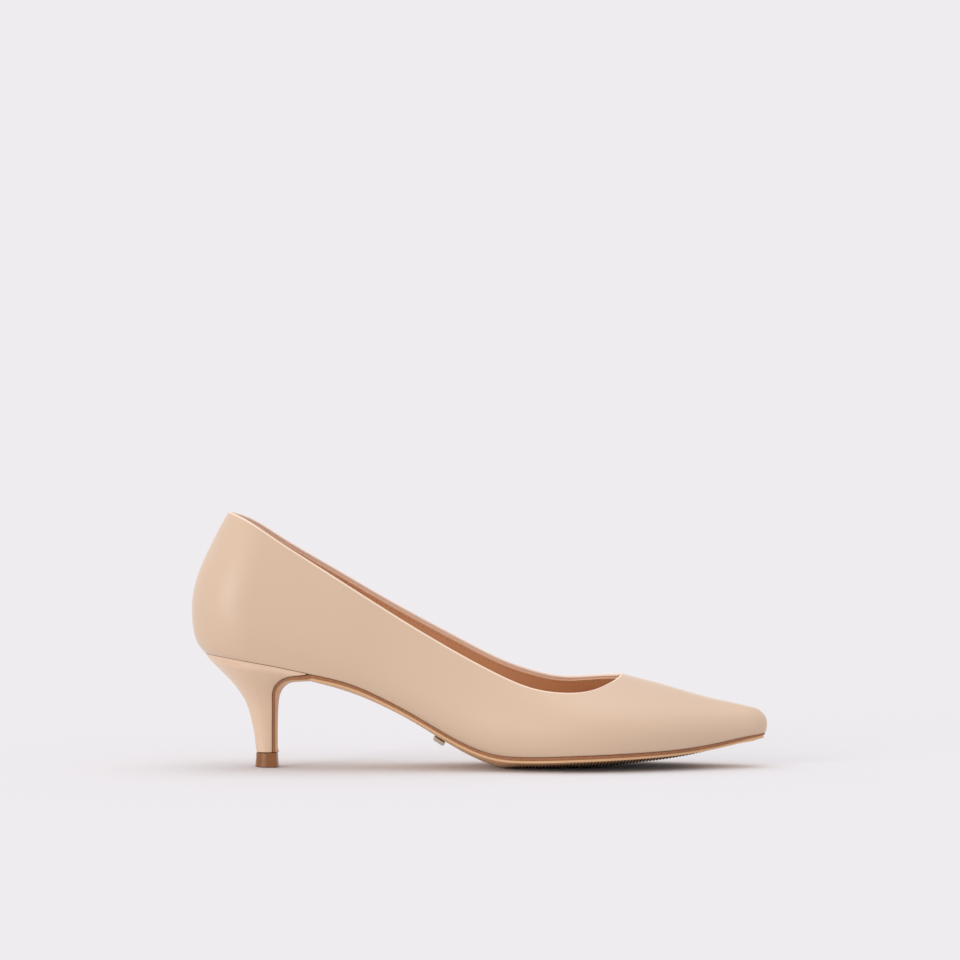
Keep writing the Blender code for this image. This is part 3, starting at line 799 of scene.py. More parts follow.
def stitch_nodes(material):
    """A thread's short stitch at every pitch along a line."""
    group, given, out = new_group(
        "stitches", "GeometryNodeTree",
        {"Line": None, "Pitch": 0.0, "Length": 0.0, "Thickness": 0.0}, {"Grown": None})
    nodes = group.nodes
    curve = nodes.new("GeometryNodeMeshToCurve")
    spaced = nodes.new("GeometryNodeResampleCurve")
    spaced.mode = "LENGTH"
    tangent = nodes.new("GeometryNodeInputTangent")
    turned = nodes.new("FunctionNodeAlignRotationToVector")
    turned.axis = "X"
    thread = set_inputs(nodes.new("GeometryNodeMeshUVSphere"), {"Segments": 8, "Rings": 6, "Radius": 0.5})
    size = nodes.new("ShaderNodeCombineXYZ")
    placed = nodes.new("GeometryNodeInstanceOnPoints")
    wire(group, (given, "Line", curve, "Mesh"), (curve, "Curve", spaced, "Curve"),
         (given, "Pitch", spaced, "Length"), (tangent, "Tangent", turned, "Vector"),
         (given, "Length", size, "X"), (given, "Thickness", size, "Y"), (given, "Thickness", size, "Z"),
         (spaced, "Curve", placed, "Points"), (thread, "Mesh", placed, "Instance"),
         (turned, "Rotation", placed, "Rotation"), (size, "Vector", placed, "Scale"))
    return end_growth(group, placed, "Instances", out, material)


def grown_piece(name, lines, group, values):
    """Grows a group along lines of edges and keeps the result as a plain piece."""
    for vert in lines.verts:
        vert.co.y += SHIFT
    base = new_object(name + " lines", mesh_data(name + " lines", lines))
    modifier = base.modifiers.new("growth", "NODES")
    modifier.node_group = group
    for item in group.interface.items_tree:
        if item.in_out == "INPUT" and item.name in values:
            modifier[item.identifier] = values[item.name]
    bpy.context.view_layer.update()
    grown = base.evaluated_get(bpy.context.evaluated_depsgraph_get())
    mesh = bpy.data.meshes.new_from_object(grown)
    mesh.name = name
    mesh.shade_smooth()
    base.modifiers.remove(modifier)
    bpy.data.objects.remove(base)
    piece = new_object(name, mesh)
    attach(piece, "root")
    return piece


# Upper

def wall_profile(side, along, wall_steps=WALL_STEPS):
    """Outside of the upper at one station: margin, rounded feather edge, wall up to the top edge."""
    points = []
    for i in range(MARGIN_STEPS):
        inset = LASTING_MARGIN + (TIGHT_RADIUS - LASTING_MARGIN) * i / MARGIN_STEPS
        points.append(bottom_point(side, along, inset))
    under = np.array(bottom_point(side, along, TIGHT_RADIUS))
    edge = np.array(bottom_point(side, along, 0.0))
    wall = np.array(last_point(side, along, TIGHT_SHARE))
    for i in range(CORNER_STEPS + 1):
        t = i / CORNER_STEPS
        points.append(tuple(under * (1 - t) ** 2 + edge * 2 * t * (1 - t) + wall * t * t))
    top = cut_level(side, along)
    for i in range(1, wall_steps + 1):
        share = 1 - (1 - i / wall_steps) ** TOP_CLOSER
        points.append(last_point(side, along, TIGHT_SHARE + (top - TIGHT_SHARE) * share))
    return points


def upper_sheet():
    """Fine open sheet over the last, with its distance below the top edge at each vertex."""
    mesh = bmesh.new()
    below = mesh.verts.layers.float.new("below")
    for side in (-1, 1):
        rows = [wall_profile(side, along) for along in stations()]
        verts = add_grid(mesh, rows)
        for along, row in zip(stations(), verts):
            distance = 0.0 if along < THROAT_SHARE + SAME_PLACE else 1.0
            for vert, lower in zip(reversed(row), list(reversed(row))[1:] + [None]):
                vert[below] = distance
                if lower:
                    distance += (vert.co - lower.co).length
    merge(mesh)
    turn_outwards(mesh)
    edge = [vert for vert in mesh.verts if vert.is_boundary and vert[below] < 0.001]
    spread_throat(mesh, below, edge)
    return mesh, below


def distance_to_line(place, points):
    """Distance from a place to the line through points."""
    best = math.inf
    for first, second in zip(points, points[1:]):
        way = second - first
        share = min(max((place - first).dot(way) / max(way.length_squared, SAME_PLACE ** 2), 0.0), 1.0)
        best = min(best, (place - first - way * share).length)
    return best


def spread_throat(mesh, below, edge):
    """In front of the throat the distance to the top edge is the straight one."""
    throat_x = max(vert.co.x for vert in edge)
    near = [vert.co.copy() for vert in edge if vert.co.x > throat_x - THROAT_NEAR]
    near.sort(key=lambda place: place.y)
    for vert in mesh.verts:
        if -THROAT_BEHIND < vert.co.x - throat_x < THROAT_AHEAD and vert.normal.z > THROAT_UPWARD:
            vert[below] = distance_to_line(vert.co, near)


def rounded(h):
    """How far each face of the folded edge is drawn in at a distance h below its top."""
    if h >= RIM_RADIUS:
        return 0.0
    return RIM_RADIUS - math.sqrt(max(RIM_RADIUS ** 2 - (RIM_RADIUS - h) ** 2, 0.0))


def make_leather(material):
    """Outer leather, folded over the top edge."""
    mesh, below = upper_sheet()
    inside = mesh.verts.layers.float.new("inside")
    inner = give_wall(mesh,
                      lambda vert: rounded(vert[below]),
                      lambda vert: LEATHER - rounded(vert[below]))
    for vert in inner:
        vert[inside] = 1.0
    return make_piece("upper_leather", mesh, material, ["upper"])


def make_lining(material):
    """Lining inside the leather, its top edge a little below the folded one."""
    mesh, below = upper_sheet()
    cut_to_drop(mesh, below)
    uncut = mesh.verts.layers.float.new("uncut")
    for vert in mesh.verts:
        vert[uncut] = min((vert[below] - LINING_DROP) / LINING_LIP, 1.0)
    outer = list(mesh.verts)
    inner = give_wall(mesh, lambda vert: LEATHER, lambda vert: LEATHER + LINING_THICKNESS)
    for vert, source in zip(inner, outer):
        vert[uncut] = source[uncut]
    return make_piece("lining", mesh, material)


def cut_to_drop(mesh, below):
    """Slides the row nearest the lining's edge onto it and deletes what is above."""
    for edge in mesh.edges:
        upper, lower = sorted(edge.verts, key=lambda vert: vert[below])
        if upper[below] < LINING_DROP <= lower[below]:
            share = (LINING_DROP - upper[below]) / (lower[below] - upper[below])
            if share > 0.5:
                lower.co = upper.co.lerp(lower.co, share)
                lower[below] = LINING_DROP
            else:
                upper.co = upper.co.lerp(lower.co, share)
                upper[below] = LINING_DROP
    high = [vert for vert in mesh.verts if vert[below] < LINING_DROP - 0.00001]
    bmesh.ops.delete(mesh, geom=high, context="VERTS")
    mesh.normal_update()


def level_line(mesh, below, distance, depth):
    """Edges that follow one distance below the top edge, sunk to a depth under the sheet."""
    line = bmesh.new()
    places = {}
    for edge in mesh.edges:
        first, second = edge.verts
        if (first[below] < distance) != (second[below] < distance):
            share = (distance - first[below]) / (second[below] - first[below])
            normal = first.normal.lerp(second.normal, share)
            places[edge] = line.verts.new(first.co.lerp(second.co, share) - normal * depth)
    for face in mesh.faces:
        ends = [places[edge] for edge in face.edges if edge in places]
        if len(ends) == 2:
            line.edges.new(ends)
    return line


def make_stitches(material):
    """Row of stitches in the lining, below its cut edge."""
    mesh, below = upper_sheet()
    line = level_line(mesh, below, LINING_DROP + STITCH_DROP, LEATHER + LINING_THICKNESS)
    mesh.free()
    values = {"Pitch": STITCH_PITCH, "Length": STITCH_LENGTH, "Thickness": STITCH_THICKNESS}
    grown_piece("lining_stitches", line, stitch_nodes(material), values)


# Insole, sole, heel

def make_sock(material):
    """Sock over the insole, with softened edges."""
    mesh = bmesh.new()
    seat = WALL + CLEARANCE
    places = stations(*SOCK_STEPS)
    levels = ((seat, INSOLE_INSET + SOCK_EDGE), (seat + INSOLE_THICKNESS, INSOLE_INSET + SOCK_SOFT))
    for lift, inset in levels:
        add_grid(mesh, [[across_point(along, share, inset, lift) for share in shares_across()]
                        for along in places])
    close_rim(mesh)
    return make_piece("insole_sock", mesh, material, ["insole"])


def tread_point(along, share):
    """Underside of the sole: level across the middle, rising to the edge."""
    x, y, top = across_point(along, share, TREAD_INSET, -CLEARANCE)
    edge = feather_height(x) - CLEARANCE - SOLE_EDGE
    middle = min(under_height(x), edge)
    t = max(abs(share) - FLAT_SHARE, 0) / (1 - FLAT_SHARE)
    return x, y, min(middle + (edge - middle) * t ** FLAT_CURVE_POWER, top - FLAP_THICKNESS)


def rib_cover(x):
    """1 where the tread has ribs, fading out at both ends."""
    from_back = x - BACK_X
    start = (from_back - RIB_FROM) / RIB_FADE
    end = (RIB_TO - from_back) / RIB_FADE
    return min(max(min(start, end), 0.0), 1.0)


def flap_depth(place):
    """Thickness of the flap down the heel's front, with a small kick over the top lift."""
    kick = max(1 - place / FLAP_KICK_PLACES, 0.0) ** 2
    return BREAST["thickness"](place) * FLAP_THICKNESS + FLAP_KICK * kick


def sole_places():
    """Places down the flap, and along the waist and the forepart from where the flap ends."""
    join = foot_along(BACK_X + FLAP_JOIN)
    flap = [i / BETWEEN_ROWS for i in range(BETWEEN_ROWS * (len(BREAST_ROWS) - 1))]
    return flap, [join] + [place for place in stations(*SOLE_STEPS) if place > join + JOIN_GAP]


def make_outsole(material):
    """Tan body of the sole: flap, waist and forepart."""
    tops = []
    bottoms = []
    flap, waist = sole_places()
    for place in flap:
        tops.append([breast_point(place, share * FLAP_TOP_SHARE, CLEARANCE / 2)
                     for share in shares_across()])
        bottoms.append([breast_point(place, share * FLAP_FRONT_SHARE, flap_depth(place))
                        for share in shares_across()])
    for along in waist:
        tops.append([across_point(along, share, SOLE_INSET + BAND_DEPTH / 2, -CLEARANCE)
                     for share in shares_across()])
        row = []
        for share in shares_across():
            x, y, z = tread_point(along, share)
            row.append((x, y, z + RIB_HEIGHT * rib_cover(x) * (1 - abs(share) ** RIB_EDGE_POWER)))
        bottoms.append(row)
    mesh = bmesh.new()
    add_grid(mesh, tops)
    add_grid(mesh, bottoms)
    close_rim(mesh)
    return make_piece("outsole_tread", mesh, material, ["outsole"])


def make_ribs(material):
    """Fine ribs across the tread, as deep as the body is raised over them."""
    mesh = bmesh.new()
    count = int((RIB_TO - RIB_FROM) / RIB_PITCH)
    for i in range(count + 1):
        along = foot_along(BACK_X + RIB_FROM + i * RIB_PITCH)
        verts = []
        reach = RIB_REACH * min(1, RIB_NARROW + i / RIB_SPREAD)
        for share in shares_across()[1:-1]:
            x, y, z = tread_point(along, share * reach)
            verts.append(mesh.verts.new((x, y, z + RIB_RADIUS)))
        for first, second in zip(verts, verts[1:]):
            mesh.edges.new((first, second))
    grown_piece("tread_ribs", mesh, rib_nodes(material), {"Radius": RIB_RADIUS})


# Section of the painted edge: shares of its height from the top, and of its depth outwards
BAND_OUTLINE = ((0.0, 0.0), (0.0, 0.8), (0.06, 0.95), (0.16, 1.0),
                (0.84, 1.0), (0.95, 0.94), (1.0, 0.78), (1.0, 0.0))


def band_profile(side, flap_place=None, along=None):
    """Top to bottom across the painted edge, a little rounded, and back inside."""
    if flap_place is not None:
        height = min(flap_depth(flap_place) * BAND_FLAP_SHARE, BAND_HEIGHT)
        outer = 1.0 + BAND_PROUD / (BREAST["half_width"](flap_place) * SEAT_WIDTH)
        inner = 1.0 - BAND_DEPTH / (BREAST["half_width"](flap_place) * SEAT_WIDTH)

        def at(depth, out):
            offset = FLAP_BAND_START + (height - FLAP_BAND_START) * depth
            return breast_point(flap_place, side * (inner + (outer - inner) * out), offset)
    else:
        def at(depth, out):
            inset = SOLE_INSET + BAND_DEPTH - (BAND_DEPTH + BAND_PROUD) * out
            x, y = bottom_place(side, along, inset)
            edge_x, _, _ = bottom_point(side, along, SOLE_INSET)
            room = feather_height(edge_x) - CLEARANCE - under_height(edge_x)
            height = min(BAND_HEIGHT, max(room, FLAP_THICKNESS) * BAND_ROOM_SHARE)
            return x, y, feather_height(x) - BAND_GAP - height * depth
    return [at(depth, out) for depth, out in BAND_OUTLINE]


def make_band(material):
    """Painted edge right round the sole, from the top lift to the toe and back on the other side."""
    flap, waist = sole_places()
    rows = [band_profile(-1, flap_place=place) for place in flap]
    rows += [band_profile(-1, along=along) for along in waist]
    rows += [band_profile(1, along=along) for along in reversed(waist[:-1])]
    rows += [band_profile(1, flap_place=place) for place in reversed(flap)]
    mesh = bmesh.new()
    down = mesh.verts.layers.float.new("down")
    for row in closed_tube(mesh, rows):
        for vert, (depth, _) in zip(row, BAND_OUTLINE):
            vert[down] = depth
    merge(mesh)
    return make_piece("sole_edge", mesh, material)


def loop(front, sides):
    """Joins a row across the front, its inner side to the back, and its outer side again."""
    inner = [(x, half, z) for x, half, z in sides[1:]]
    outer = [(x, -half, z) for x, half, z in reversed(sides[1:-1])]
    return front + inner + outer


def side_places(widest, level=14, turned=26):
    """Shares of the way to the back, even up to the widest place and closer towards the end."""
    places = [widest * i / level for i in range(level)]
    return places + [widest + (1 - widest) * math.sin(i / turned * math.pi / 2) for i in range(turned + 1)]


def heel_loop(place):
    """One loop round the heel, level with a row of its front and a row of its back."""
    last = len(HEEL_ROWS) - 1
    front_place = place if place < last else HEEL_TIP_PLACE
    front = [breast_point(front_place, share, -CLEARANCE / 2) for share in shares_across()]
    front_x, front_half, front_z = front[-1]
    low = LIFT_HEIGHT + CLEARANCE
    back_x = BACK_X + HEEL["back"](place) * LENGTH
    back_z = low + HEEL["up"](place) * (HEEL_HEIGHT - low)
    widest = HEEL["widest"](place)
    half = HEEL["half_width"](place) * SEAT_WIDTH
    sides = []
    for t in side_places(widest):
        y = round_half(t, widest, front_half, half)
        sides.append((front_x + (back_x - front_x) * t, y, front_z + (back_z - front_z) * t))
    return loop(front, sides)


def make_heel(material):
    """Covered heel, from the top lift up to its cupped seat."""
    tip_x = breast_point(HEEL_TIP_PLACE, 1.0, 0.0)[0]
    tip = foot_along(tip_x)
    widest = 1 - HEEL_ROUND / (tip_x - FOOT_BACK_X)
    rows = [[across_point(tip * (1 - t), share, SEAM_INSET, SEAM_LIFT) for share in shares_across()]
            for t in side_places(widest)]
    last = len(HEEL_ROWS) - 1
    loops = [heel_loop(i / BETWEEN_ROWS) for i in range(BETWEEN_ROWS * last + 1)]
    loops.append(rows[0] + [row[-1] for row in rows[1:]] + [row[0] for row in reversed(rows[1:-1])])
    mesh = bmesh.new()
    verts = add_grid(mesh, loops, closed=True)
    mesh.faces.new(verts[0])
    add_grid(mesh, rows)
    merge(mesh)
    return make_piece("heel_cover", mesh, material, ["heel"])


def make_seam(material):
    """Thin dark cord where the upper's leather meets the heel's cover; its dark colour is painted shade in
    the crease between them.
    """
    tip = foot_along(breast_point(HEEL_TIP_PLACE, 1.0, 0.0)[0])
    places = [tip * (1 - math.sin(i / SEAM_STEPS * math.pi / 2)) for i in range(SEAM_STEPS + 1)]
    path = [(-1, along) for along in places] + [(1, along) for along in reversed(places[:-1])]
    rows = []
    for side, along in path:
        row = []
        for turn in range(SEAM_SIDES):
            angle = turn / SEAM_SIDES * 2 * math.pi
            x, y, z = bottom_point(side, along, SEAM_INSET + SEAM_RADIUS * math.cos(angle))
            row.append((x, y, z + SEAM_LIFT + SEAM_RADIUS * math.sin(angle)))
        rows.append(row)
    mesh = bmesh.new()
    closed_tube(mesh, rows)
    return make_piece("heel_seam", mesh, material)


def make_top_lift(material):
    """Hard tip: level in front, round behind, with broken edges."""
    front_x = BACK_X + HEEL["back"](0) * LENGTH + LIFT_LENGTH
    mesh = bmesh.new()
    loops = []
    levels = ((0.0, -0.6 * TIP_EDGE), (0.3 * TIP_EDGE, -0.1 * TIP_EDGE), (TIP_EDGE, TIP_EDGE),
              (LIFT_HEIGHT / 2, TIP_BULGE), (LIFT_HEIGHT - TIP_EDGE, 0.0),
              (LIFT_HEIGHT - 0.3 * TIP_EDGE, -0.3 * TIP_EDGE), (LIFT_HEIGHT, -TIP_EDGE))
    for height, spread in levels:
        half = LIFT_WIDTH / 2 + spread
        front = [(front_x + spread, half * share, height) for share in shares_across()]
        sides = []
        for t in side_places(LIFT_ROUND_SHARE):
            x = front_x + spread - (LIFT_LENGTH + 2 * spread) * t
            sides.append((x, round_half(t, LIFT_ROUND_SHARE, half, half), height))
        loops.append(loop(front, sides))
    closed_tube(mesh, loops)
    return make_piece("heel_tip", mesh, material, ["top_lift"])


def make_plate(material):
    """Small blank plate under the waist, with broken corners."""
    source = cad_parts["sole_plate"].data
    mesh = bmesh.new()
    mesh.from_mesh(source)
    bmesh.ops.remove_doubles(mesh, verts=mesh.verts, dist=SAME_PLACE)
    bmesh.ops.dissolve_limit(mesh, angle_limit=NEARLY_FLAT, verts=mesh.verts, edges=mesh.edges)
    bmesh.ops.bevel(mesh, geom=list(mesh.edges), offset=PLATE_SOFT, segments=PLATE_SOFT_STEPS,
                    affect="EDGES", profile=0.5)
    for vert in mesh.verts:
        vert.co.y -= SHIFT
    return make_piece("waist_plate", mesh, material, ["sole_plate"])


# Shared effects, as node groups

def math_node(nodes, operation, first=None, second=None, clamp=False):
    """A maths node with the values that it has on its own sockets."""
    node = nodes.new("ShaderNodeMath")
    node.operation = operation
    node.use_clamp = clamp
    return set_inputs(node, {i: value for i, value in enumerate((first, second)) if value is not None})


def grain_group():
    """Height of a fine leather grain: small rounded cells and finer pores between them."""
    group, given, out = new_group("leather grain", "ShaderNodeTree",
                                  {"Cells": 1500.0, "Pores": 3800.0}, {"Height": 0.0})
    nodes = group.nodes
    place = nodes.new("ShaderNodeTexCoord")
    bend = set_inputs(nodes.new("ShaderNodeTexNoise"), {"Scale": 400.0})
    shifted = nodes.new("ShaderNodeVectorMath")
    shifted.operation = "MULTIPLY_ADD"
    set_inputs(shifted, {1: (0.0006, 0.0006, 0.0006)})
    cells = nodes.new("ShaderNodeTexVoronoi")
    cells.feature = "SMOOTH_F1"
    set_inputs(cells, {"Smoothness": 0.7})
    pores = set_inputs(nodes.new("ShaderNodeTexNoise"), {"Detail": 3.0})
    hollow = math_node(nodes, "MULTIPLY_ADD", second=-0.8)
    wire(group, (place, "Object", bend, "Vector"), (bend, "Color", shifted, 0),
         (place, "Object", shifted, 2), (shifted, 0, cells, "Vector"), (given, "Cells", cells, "Scale"),
         (place, "Object", pores, "Vector"), (given, "Pores", pores, "Scale"),
         (cells, "Distance", hollow, 0), (pores, "Fac", hollow, 2), (hollow, 0, out, "Height"))
    return group


def cloud_group():
    """Soft patches between 0 and 1, for uneven dye and relief."""
    group, given, out = new_group("soft patches", "ShaderNodeTree",
                                  {"Scale": 30.0, "Contrast": 1.5}, {"Value": 0.0})
    nodes = group.nodes
    place = nodes.new("ShaderNodeTexCoord")
    noise = set_inputs(nodes.new("ShaderNodeTexNoise"), {"Detail": 4.0})
    centred = math_node(nodes, "SUBTRACT", second=0.5)
    spread = math_node(nodes, "MULTIPLY")
    value = math_node(nodes, "ADD", second=0.5, clamp=True)
    wire(group, (place, "Object", noise, "Vector"), (given, "Scale", noise, "Scale"),
         (noise, "Fac", centred, 0), (centred, 0, spread, 0), (given, "Contrast", spread, 1),
         (spread, 0, value, 0), (value, 0, out, "Value"))
    return group


def seam_group():
    """1 along the upright seam down the middle of the back, fading out in front of it."""
    group, given, out = new_group("back seam", "ShaderNodeTree",
                                  {"Middle": 0.0, "Half": 0.0004}, {"Mask": 0.0})
    nodes = group.nodes
    place = nodes.new("ShaderNodeTexCoord")
    parted = nodes.new("ShaderNodeSeparateXYZ")
    from_middle = math_node(nodes, "SUBTRACT")
    distance = math_node(nodes, "ABSOLUTE")
    share = math_node(nodes, "DIVIDE")
    near = math_node(nodes, "SUBTRACT", first=1.0, clamp=True)
    behind = set_inputs(nodes.new("ShaderNodeMapRange"),
                        {"From Min": BACK_SEAM_FRONT, "From Max": BACK_SEAM_FRONT - BACK_SEAM_FADE})
    mask = math_node(nodes, "MULTIPLY")
    wire(group, (place, "Object", parted, 0), (parted, "Y", from_middle, 0),
         (given, "Middle", from_middle, 1), (from_middle, 0, distance, 0), (distance, 0, share, 0),
         (given, "Half", share, 1), (share, 0, near, 1), (parted, "X", behind, "Value"),
         (near, 0, mask, 0), (behind, "Result", mask, 1), (mask, 0, out, "Mask"))
    return group


# Materials

def new_material(name, colour, roughness, coat=0.0, coat_roughness=0.3):
    """A plain Principled material; its constants stay on the shader's own sockets."""
    material = bpy.data.materials.new(name)
    material.use_nodes = True
    set_inputs(material.node_tree.nodes["Principled BSDF"],
               {"Base Color": (*colour, 1), "Roughness": roughness,
                "Coat Weight": coat, "Coat Roughness": coat_roughness})
    return material


def give_sheen(material):
    """Pale soft sheen where the leather turns away, set on the shader's own sockets."""
    set_inputs(material.node_tree.nodes["Principled BSDF"],
               {"Sheen Weight": 0.55, "Sheen Roughness": 0.32, "Sheen Tint": (1.0, 0.95, 0.80, 1)})


def place_group(material, group, **values):
    """A shared effect in a material, with its inputs by name."""
    node = material.node_tree.nodes.new("ShaderNodeGroup")
    node.node_tree = group
    return set_inputs(node, values)


def tint(material, mask, colour):
    """Mixes a second colour over what feeds the base colour, by a mask socket."""
    nodes, links = material.node_tree.nodes, material.node_tree.links
    base = nodes["Principled BSDF"].inputs["Base Color"]
    mix = nodes.new("ShaderNodeMix")
    mix.data_type = "RGBA"
    mix.inputs["A"].default_value = base.default_value
    if base.is_linked:
        links.new(base.links[0].from_socket, mix.inputs["A"])
    mix.inputs["B"].default_value = (*colour, 1)
    links.new(mask, mix.inputs["Factor"])
    links.new(mix.outputs["Result"], base)


def attribute_mask(material, name, low, high):
    """1 where a vertex attribute is low, fading to 0 at high."""
    tree = material.node_tree
    attribute = tree.nodes.new("ShaderNodeAttribute")
    attribute.attribute_name = name
    fade = set_inputs(tree.nodes.new("ShaderNodeMapRange"),
                      {"From Min": low, "From Max": high, "To Min": 1.0, "To Max": 0.0})
    fade.interpolation_type = "SMOOTHSTEP"
    wire(tree, (attribute, "Fac", fade, "Value"))
    return fade.outputs["Result"]


def scaled(material, socket, factor):
    """A mask socket made weaker, or multiplied by another mask."""
    nodes, links = material.node_tree.nodes, material.node_tree.links
    node = math_node(nodes, "MULTIPLY")
    links.new(socket, node.inputs[0])
    if isinstance(factor, float):
        node.inputs[1].default_value = factor
    else:
        links.new(factor, node.inputs[1])
    return node.outputs[0]


def uneven_dye(material, clouds, patches, colour):
    """Mixes in a second colour by soft patches of a scale, contrast and strength; returns the patches."""
    scale, contrast, strength = patches
    cloud = place_group(material, clouds, Scale=scale, Contrast=contrast).outputs["Value"]
    tint(material, scaled(material, cloud, strength), colour)
    return cloud


def emboss(material, height, depth):
    """Feeds a height into the shader's normal, depth in metres."""
    nodes, links = material.node_tree.nodes, material.node_tree.links
    bump = nodes.new("ShaderNodeBump")
    bump.inputs["Distance"].default_value = depth
    links.new(height, bump.inputs["Height"])
    links.new(bump.outputs["Normal"], nodes["Principled BSDF"].inputs["Normal"])


def leather_material(grain, clouds):
    """Smooth nude leather with a satin finish, with a painted highlight along the folded top edge and
    painted light on its inside face.
    """
    material = new_material("nude leather", (0.635, 0.460, 0.325), 0.44, 0.12, 0.35)
    give_sheen(material)
    uneven_dye(material, clouds, (22.0, 1.6, 0.35), (0.645, 0.450, 0.300))
    # Painted light: the leather's inside face, seen above the lining, is made paler than its outside as if
    # lit.
    painted_light_inside = attribute_mask(material, "inside", 1.0, 0.0)
    tint(material, painted_light_inside, (0.860, 0.690, 0.570))
    # Painted highlight: a pale band on the outside along the folded top edge, where the rounded fold
    # catches the light.
    near_top_edge = attribute_mask(material, "below", 0.0005, 0.0012)
    painted_rim_highlight = scaled(material, near_top_edge, attribute_mask(material, "inside", 0.2, 0.6))
    tint(material, scaled(material, painted_rim_highlight, 0.75), (0.97, 0.78, 0.60))
    middle = centre_line(0.0) + SHIFT
    seam = place_group(material, seam_group(), Middle=middle, Half=BACK_SEAM_HALF).outputs["Mask"]
    tint(material, scaled(material, seam, 0.55), (0.300, 0.190, 0.120))
    emboss(material, place_group(material, grain).outputs["Height"], GRAIN_DEPTH)
    return material


def heel_material(grain, clouds):
    """The same leather on the heel, a little tighter, and made paler as painted light against the shade
    under the cup.
    """
    # Painted light: a paler copy of the upper's leather, to offset the shade the heel gets under the cup.
    material = new_material("heel leather painted lighter", (0.735, 0.530, 0.374), 0.42, 0.15, 0.3)
    give_sheen(material)
    uneven_dye(material, clouds, (30.0, 1.4, 0.3), (0.725, 0.508, 0.348))
    emboss(material, place_group(material, grain, Cells=1600.0).outputs["Height"], FINE_DEPTH)
    return material


def lining_material(grain, clouds):
    """Tan lining leather, paler along its cut edge: the edge's own paler tone with a painted highlight
    where it catches light.
    """
    material = new_material("tan lining", (0.715, 0.400, 0.218), 0.5)
    uneven_dye(material, clouds, (45.0, 1.8, 0.5), (0.600, 0.310, 0.165))
    # Paler band at the cut edge: partly the raw edge's tone, partly a painted highlight on the edge.
    tint(material, attribute_mask(material, "uncut", 0.2, 0.9), (0.860, 0.600, 0.410))
    emboss(material, place_group(material, grain, Cells=2400.0).outputs["Height"], GRAIN_DEPTH)
    return material


def edge_material(clouds):
    """Painted edge: brown, rough, with a thin dark line along the top that is painted shade where the edge
    meets the upper.
    """
    material = new_material("painted edge", (0.365, 0.148, 0.048), 0.5)
    coarse = uneven_dye(material, clouds, (700.0, 3.0, 0.55), (0.215, 0.080, 0.032))
    # Painted shade: the top of the edge darker, where it meets the upper.
    tint(material, attribute_mask(material, "down", 0.25, 0.50), (0.155, 0.050, 0.018))
    emboss(material, coarse, COARSE_DEPTH)
    return material


# Plain finishes: name, colour, roughness, dye patches (scale, contrast, strength), their colour,
# and relief (scale, contrast, depth)
PLAIN_FINISHES = {
    "tread": ("tan sole", (0.725, 0.440, 0.230), 0.5, (60.0, 1.6, 0.4), (0.655, 0.372, 0.182),
              (1800.0, 1.5, GRAIN_DEPTH)),
    # Ribs' dark brown: partly the tread's own colour, partly painted shade under the forepart.
    "ribs": ("brown tread", (0.130, 0.070, 0.036), 0.6, (300.0, 2.0, 0.5), (0.080, 0.042, 0.020)),
    # Seam cord's dark brown: painted shade in the crease where the upper meets the heel cover.
    "seam": ("brown seam", (0.200, 0.095, 0.050), 0.6, (900.0, 2.0, 0.5), (0.300, 0.170, 0.100)),
    "tip": ("brown plastic", (0.245, 0.088, 0.014), 0.38, (160.0, 1.5, 0.5), (0.200, 0.066, 0.010),
            (2200.0, 1.2, FINE_DEPTH)),
    "plate": ("pale plate", (0.560, 0.480, 0.390), 0.35, (200.0, 1.2, 0.3), (0.480, 0.400, 0.310)),
    "thread": ("tan thread", (0.500, 0.290, 0.165), 0.6, (2500.0, 2.0, 0.4), (0.380, 0.200, 0.100)),
}


def plain_finish(clouds, name, colour, roughness, patches, second, relief=None):
    """A plain material with uneven dye and, if it has one, a fine relief."""
    material = new_material(name, colour, roughness)
    uneven_dye(material, clouds, patches, second)
    if relief:
        scale, contrast, depth = relief
        height = place_group(material, clouds, Scale=scale, Contrast=contrast).outputs["Value"]
        emboss(material, height, depth)
    return material


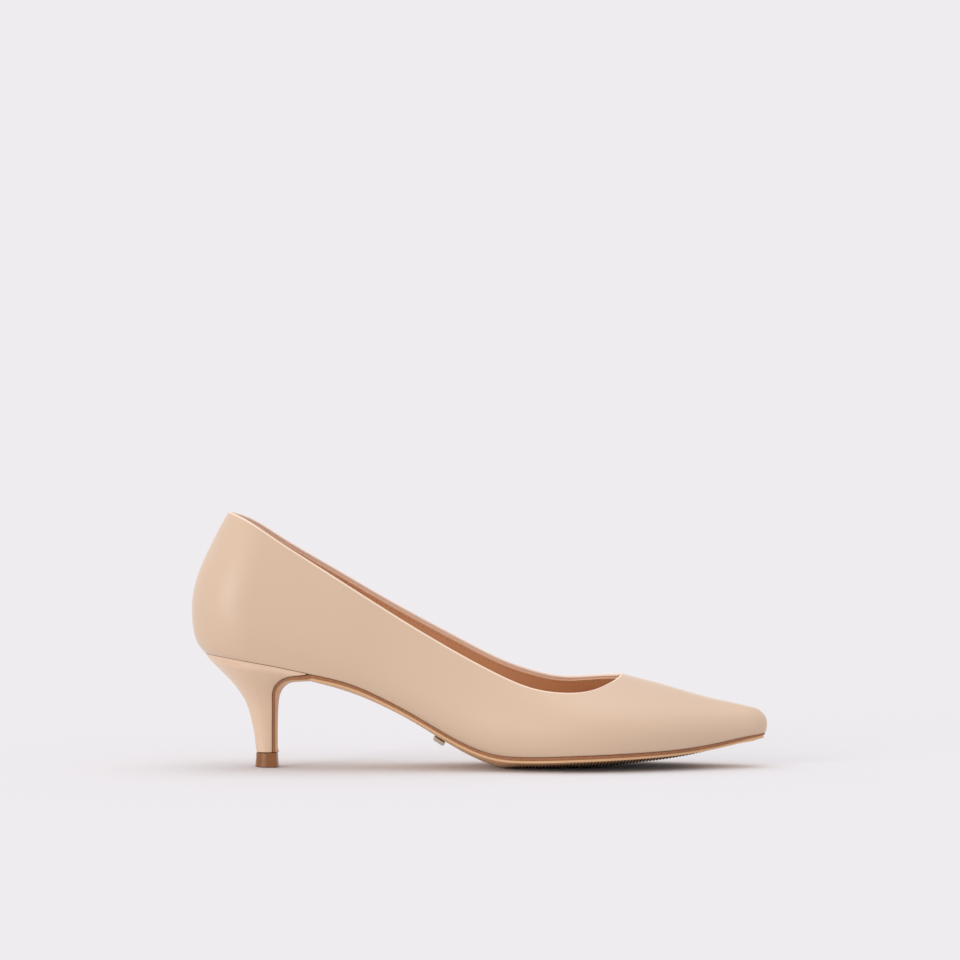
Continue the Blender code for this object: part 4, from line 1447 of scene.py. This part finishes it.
def make_materials():
    """All finishes of the shoe, by name."""
    grain = grain_group()
    clouds = cloud_group()
    made = {
        "leather": leather_material(grain, clouds),
        "heel": heel_material(grain, clouds),
        "lining": lining_material(grain, clouds),
        "edge": edge_material(clouds),
    }
    for part, values in PLAIN_FINISHES.items():
        made[part] = plain_finish(clouds, *values)
    return made


# Stage

def floor_colour():
    """The colour that gives the lit floor the tone of the backdrop."""
    suns = 0.0
    for _, place, strength, _ in SUNS:
        suns += strength * Vector(place).normalized().z / math.pi
    return [tone / (tone + suns) for tone in BACKDROP_COLOUR]


def make_floor():
    """Wide level floor in the tone of the backdrop."""
    mesh = bmesh.new()
    bmesh.ops.create_grid(mesh, x_segments=1, y_segments=1, size=FLOOR_REACH)
    material = new_material("pale floor", floor_colour(), 1.0)
    set_inputs(material.node_tree.nodes["Principled BSDF"], {"Specular IOR Level": 0.0})
    floor = new_object("floor", mesh_data("floor", mesh))
    floor.data.materials.append(material)


def make_lights():
    """Even studio light from all round, with soft suns from above on the left and the front."""
    scene = bpy.context.scene
    scene.view_settings.view_transform = "Standard"
    scene.world = bpy.data.worlds.new("studio")
    scene.world.use_nodes = True
    sky = scene.world.node_tree.nodes["Background"]
    sky.inputs["Color"].default_value = (*BACKDROP_COLOUR, 1)
    for name, place, strength, spread in SUNS:
        light = bpy.data.lights.new(name, "SUN")
        light.energy = strength
        light.angle = math.radians(spread)
        lamp = new_object(name, light)
        lamp.rotation_euler = (-Vector(place)).to_track_quat("-Z", "Y").to_euler()


def make_camera():
    """Level camera, its axis through the middle of the photograph."""
    data = bpy.data.cameras.new("camera")
    data.sensor_width = SENSOR
    data.lens = SENSOR * CAMERA_DISTANCE / PHOTO_WIDTH
    camera = new_object("camera", data)
    camera.location = (0.0, -CAMERA_DISTANCE, CAMERA_HEIGHT)
    camera.rotation_euler = (math.pi / 2, 0, 0)
    bpy.context.scene.camera = camera


SHIFT = shoe_shift()
make_camera()
make_floor()
make_lights()
finishes = make_materials()
make_leather(finishes["leather"])
make_lining(finishes["lining"])
make_stitches(finishes["thread"])
make_sock(finishes["lining"])
make_outsole(finishes["tread"])
make_ribs(finishes["ribs"])
make_band(finishes["edge"])
make_heel(finishes["heel"])
make_seam(finishes["seam"])
make_top_lift(finishes["tip"])
make_plate(finishes["plate"])
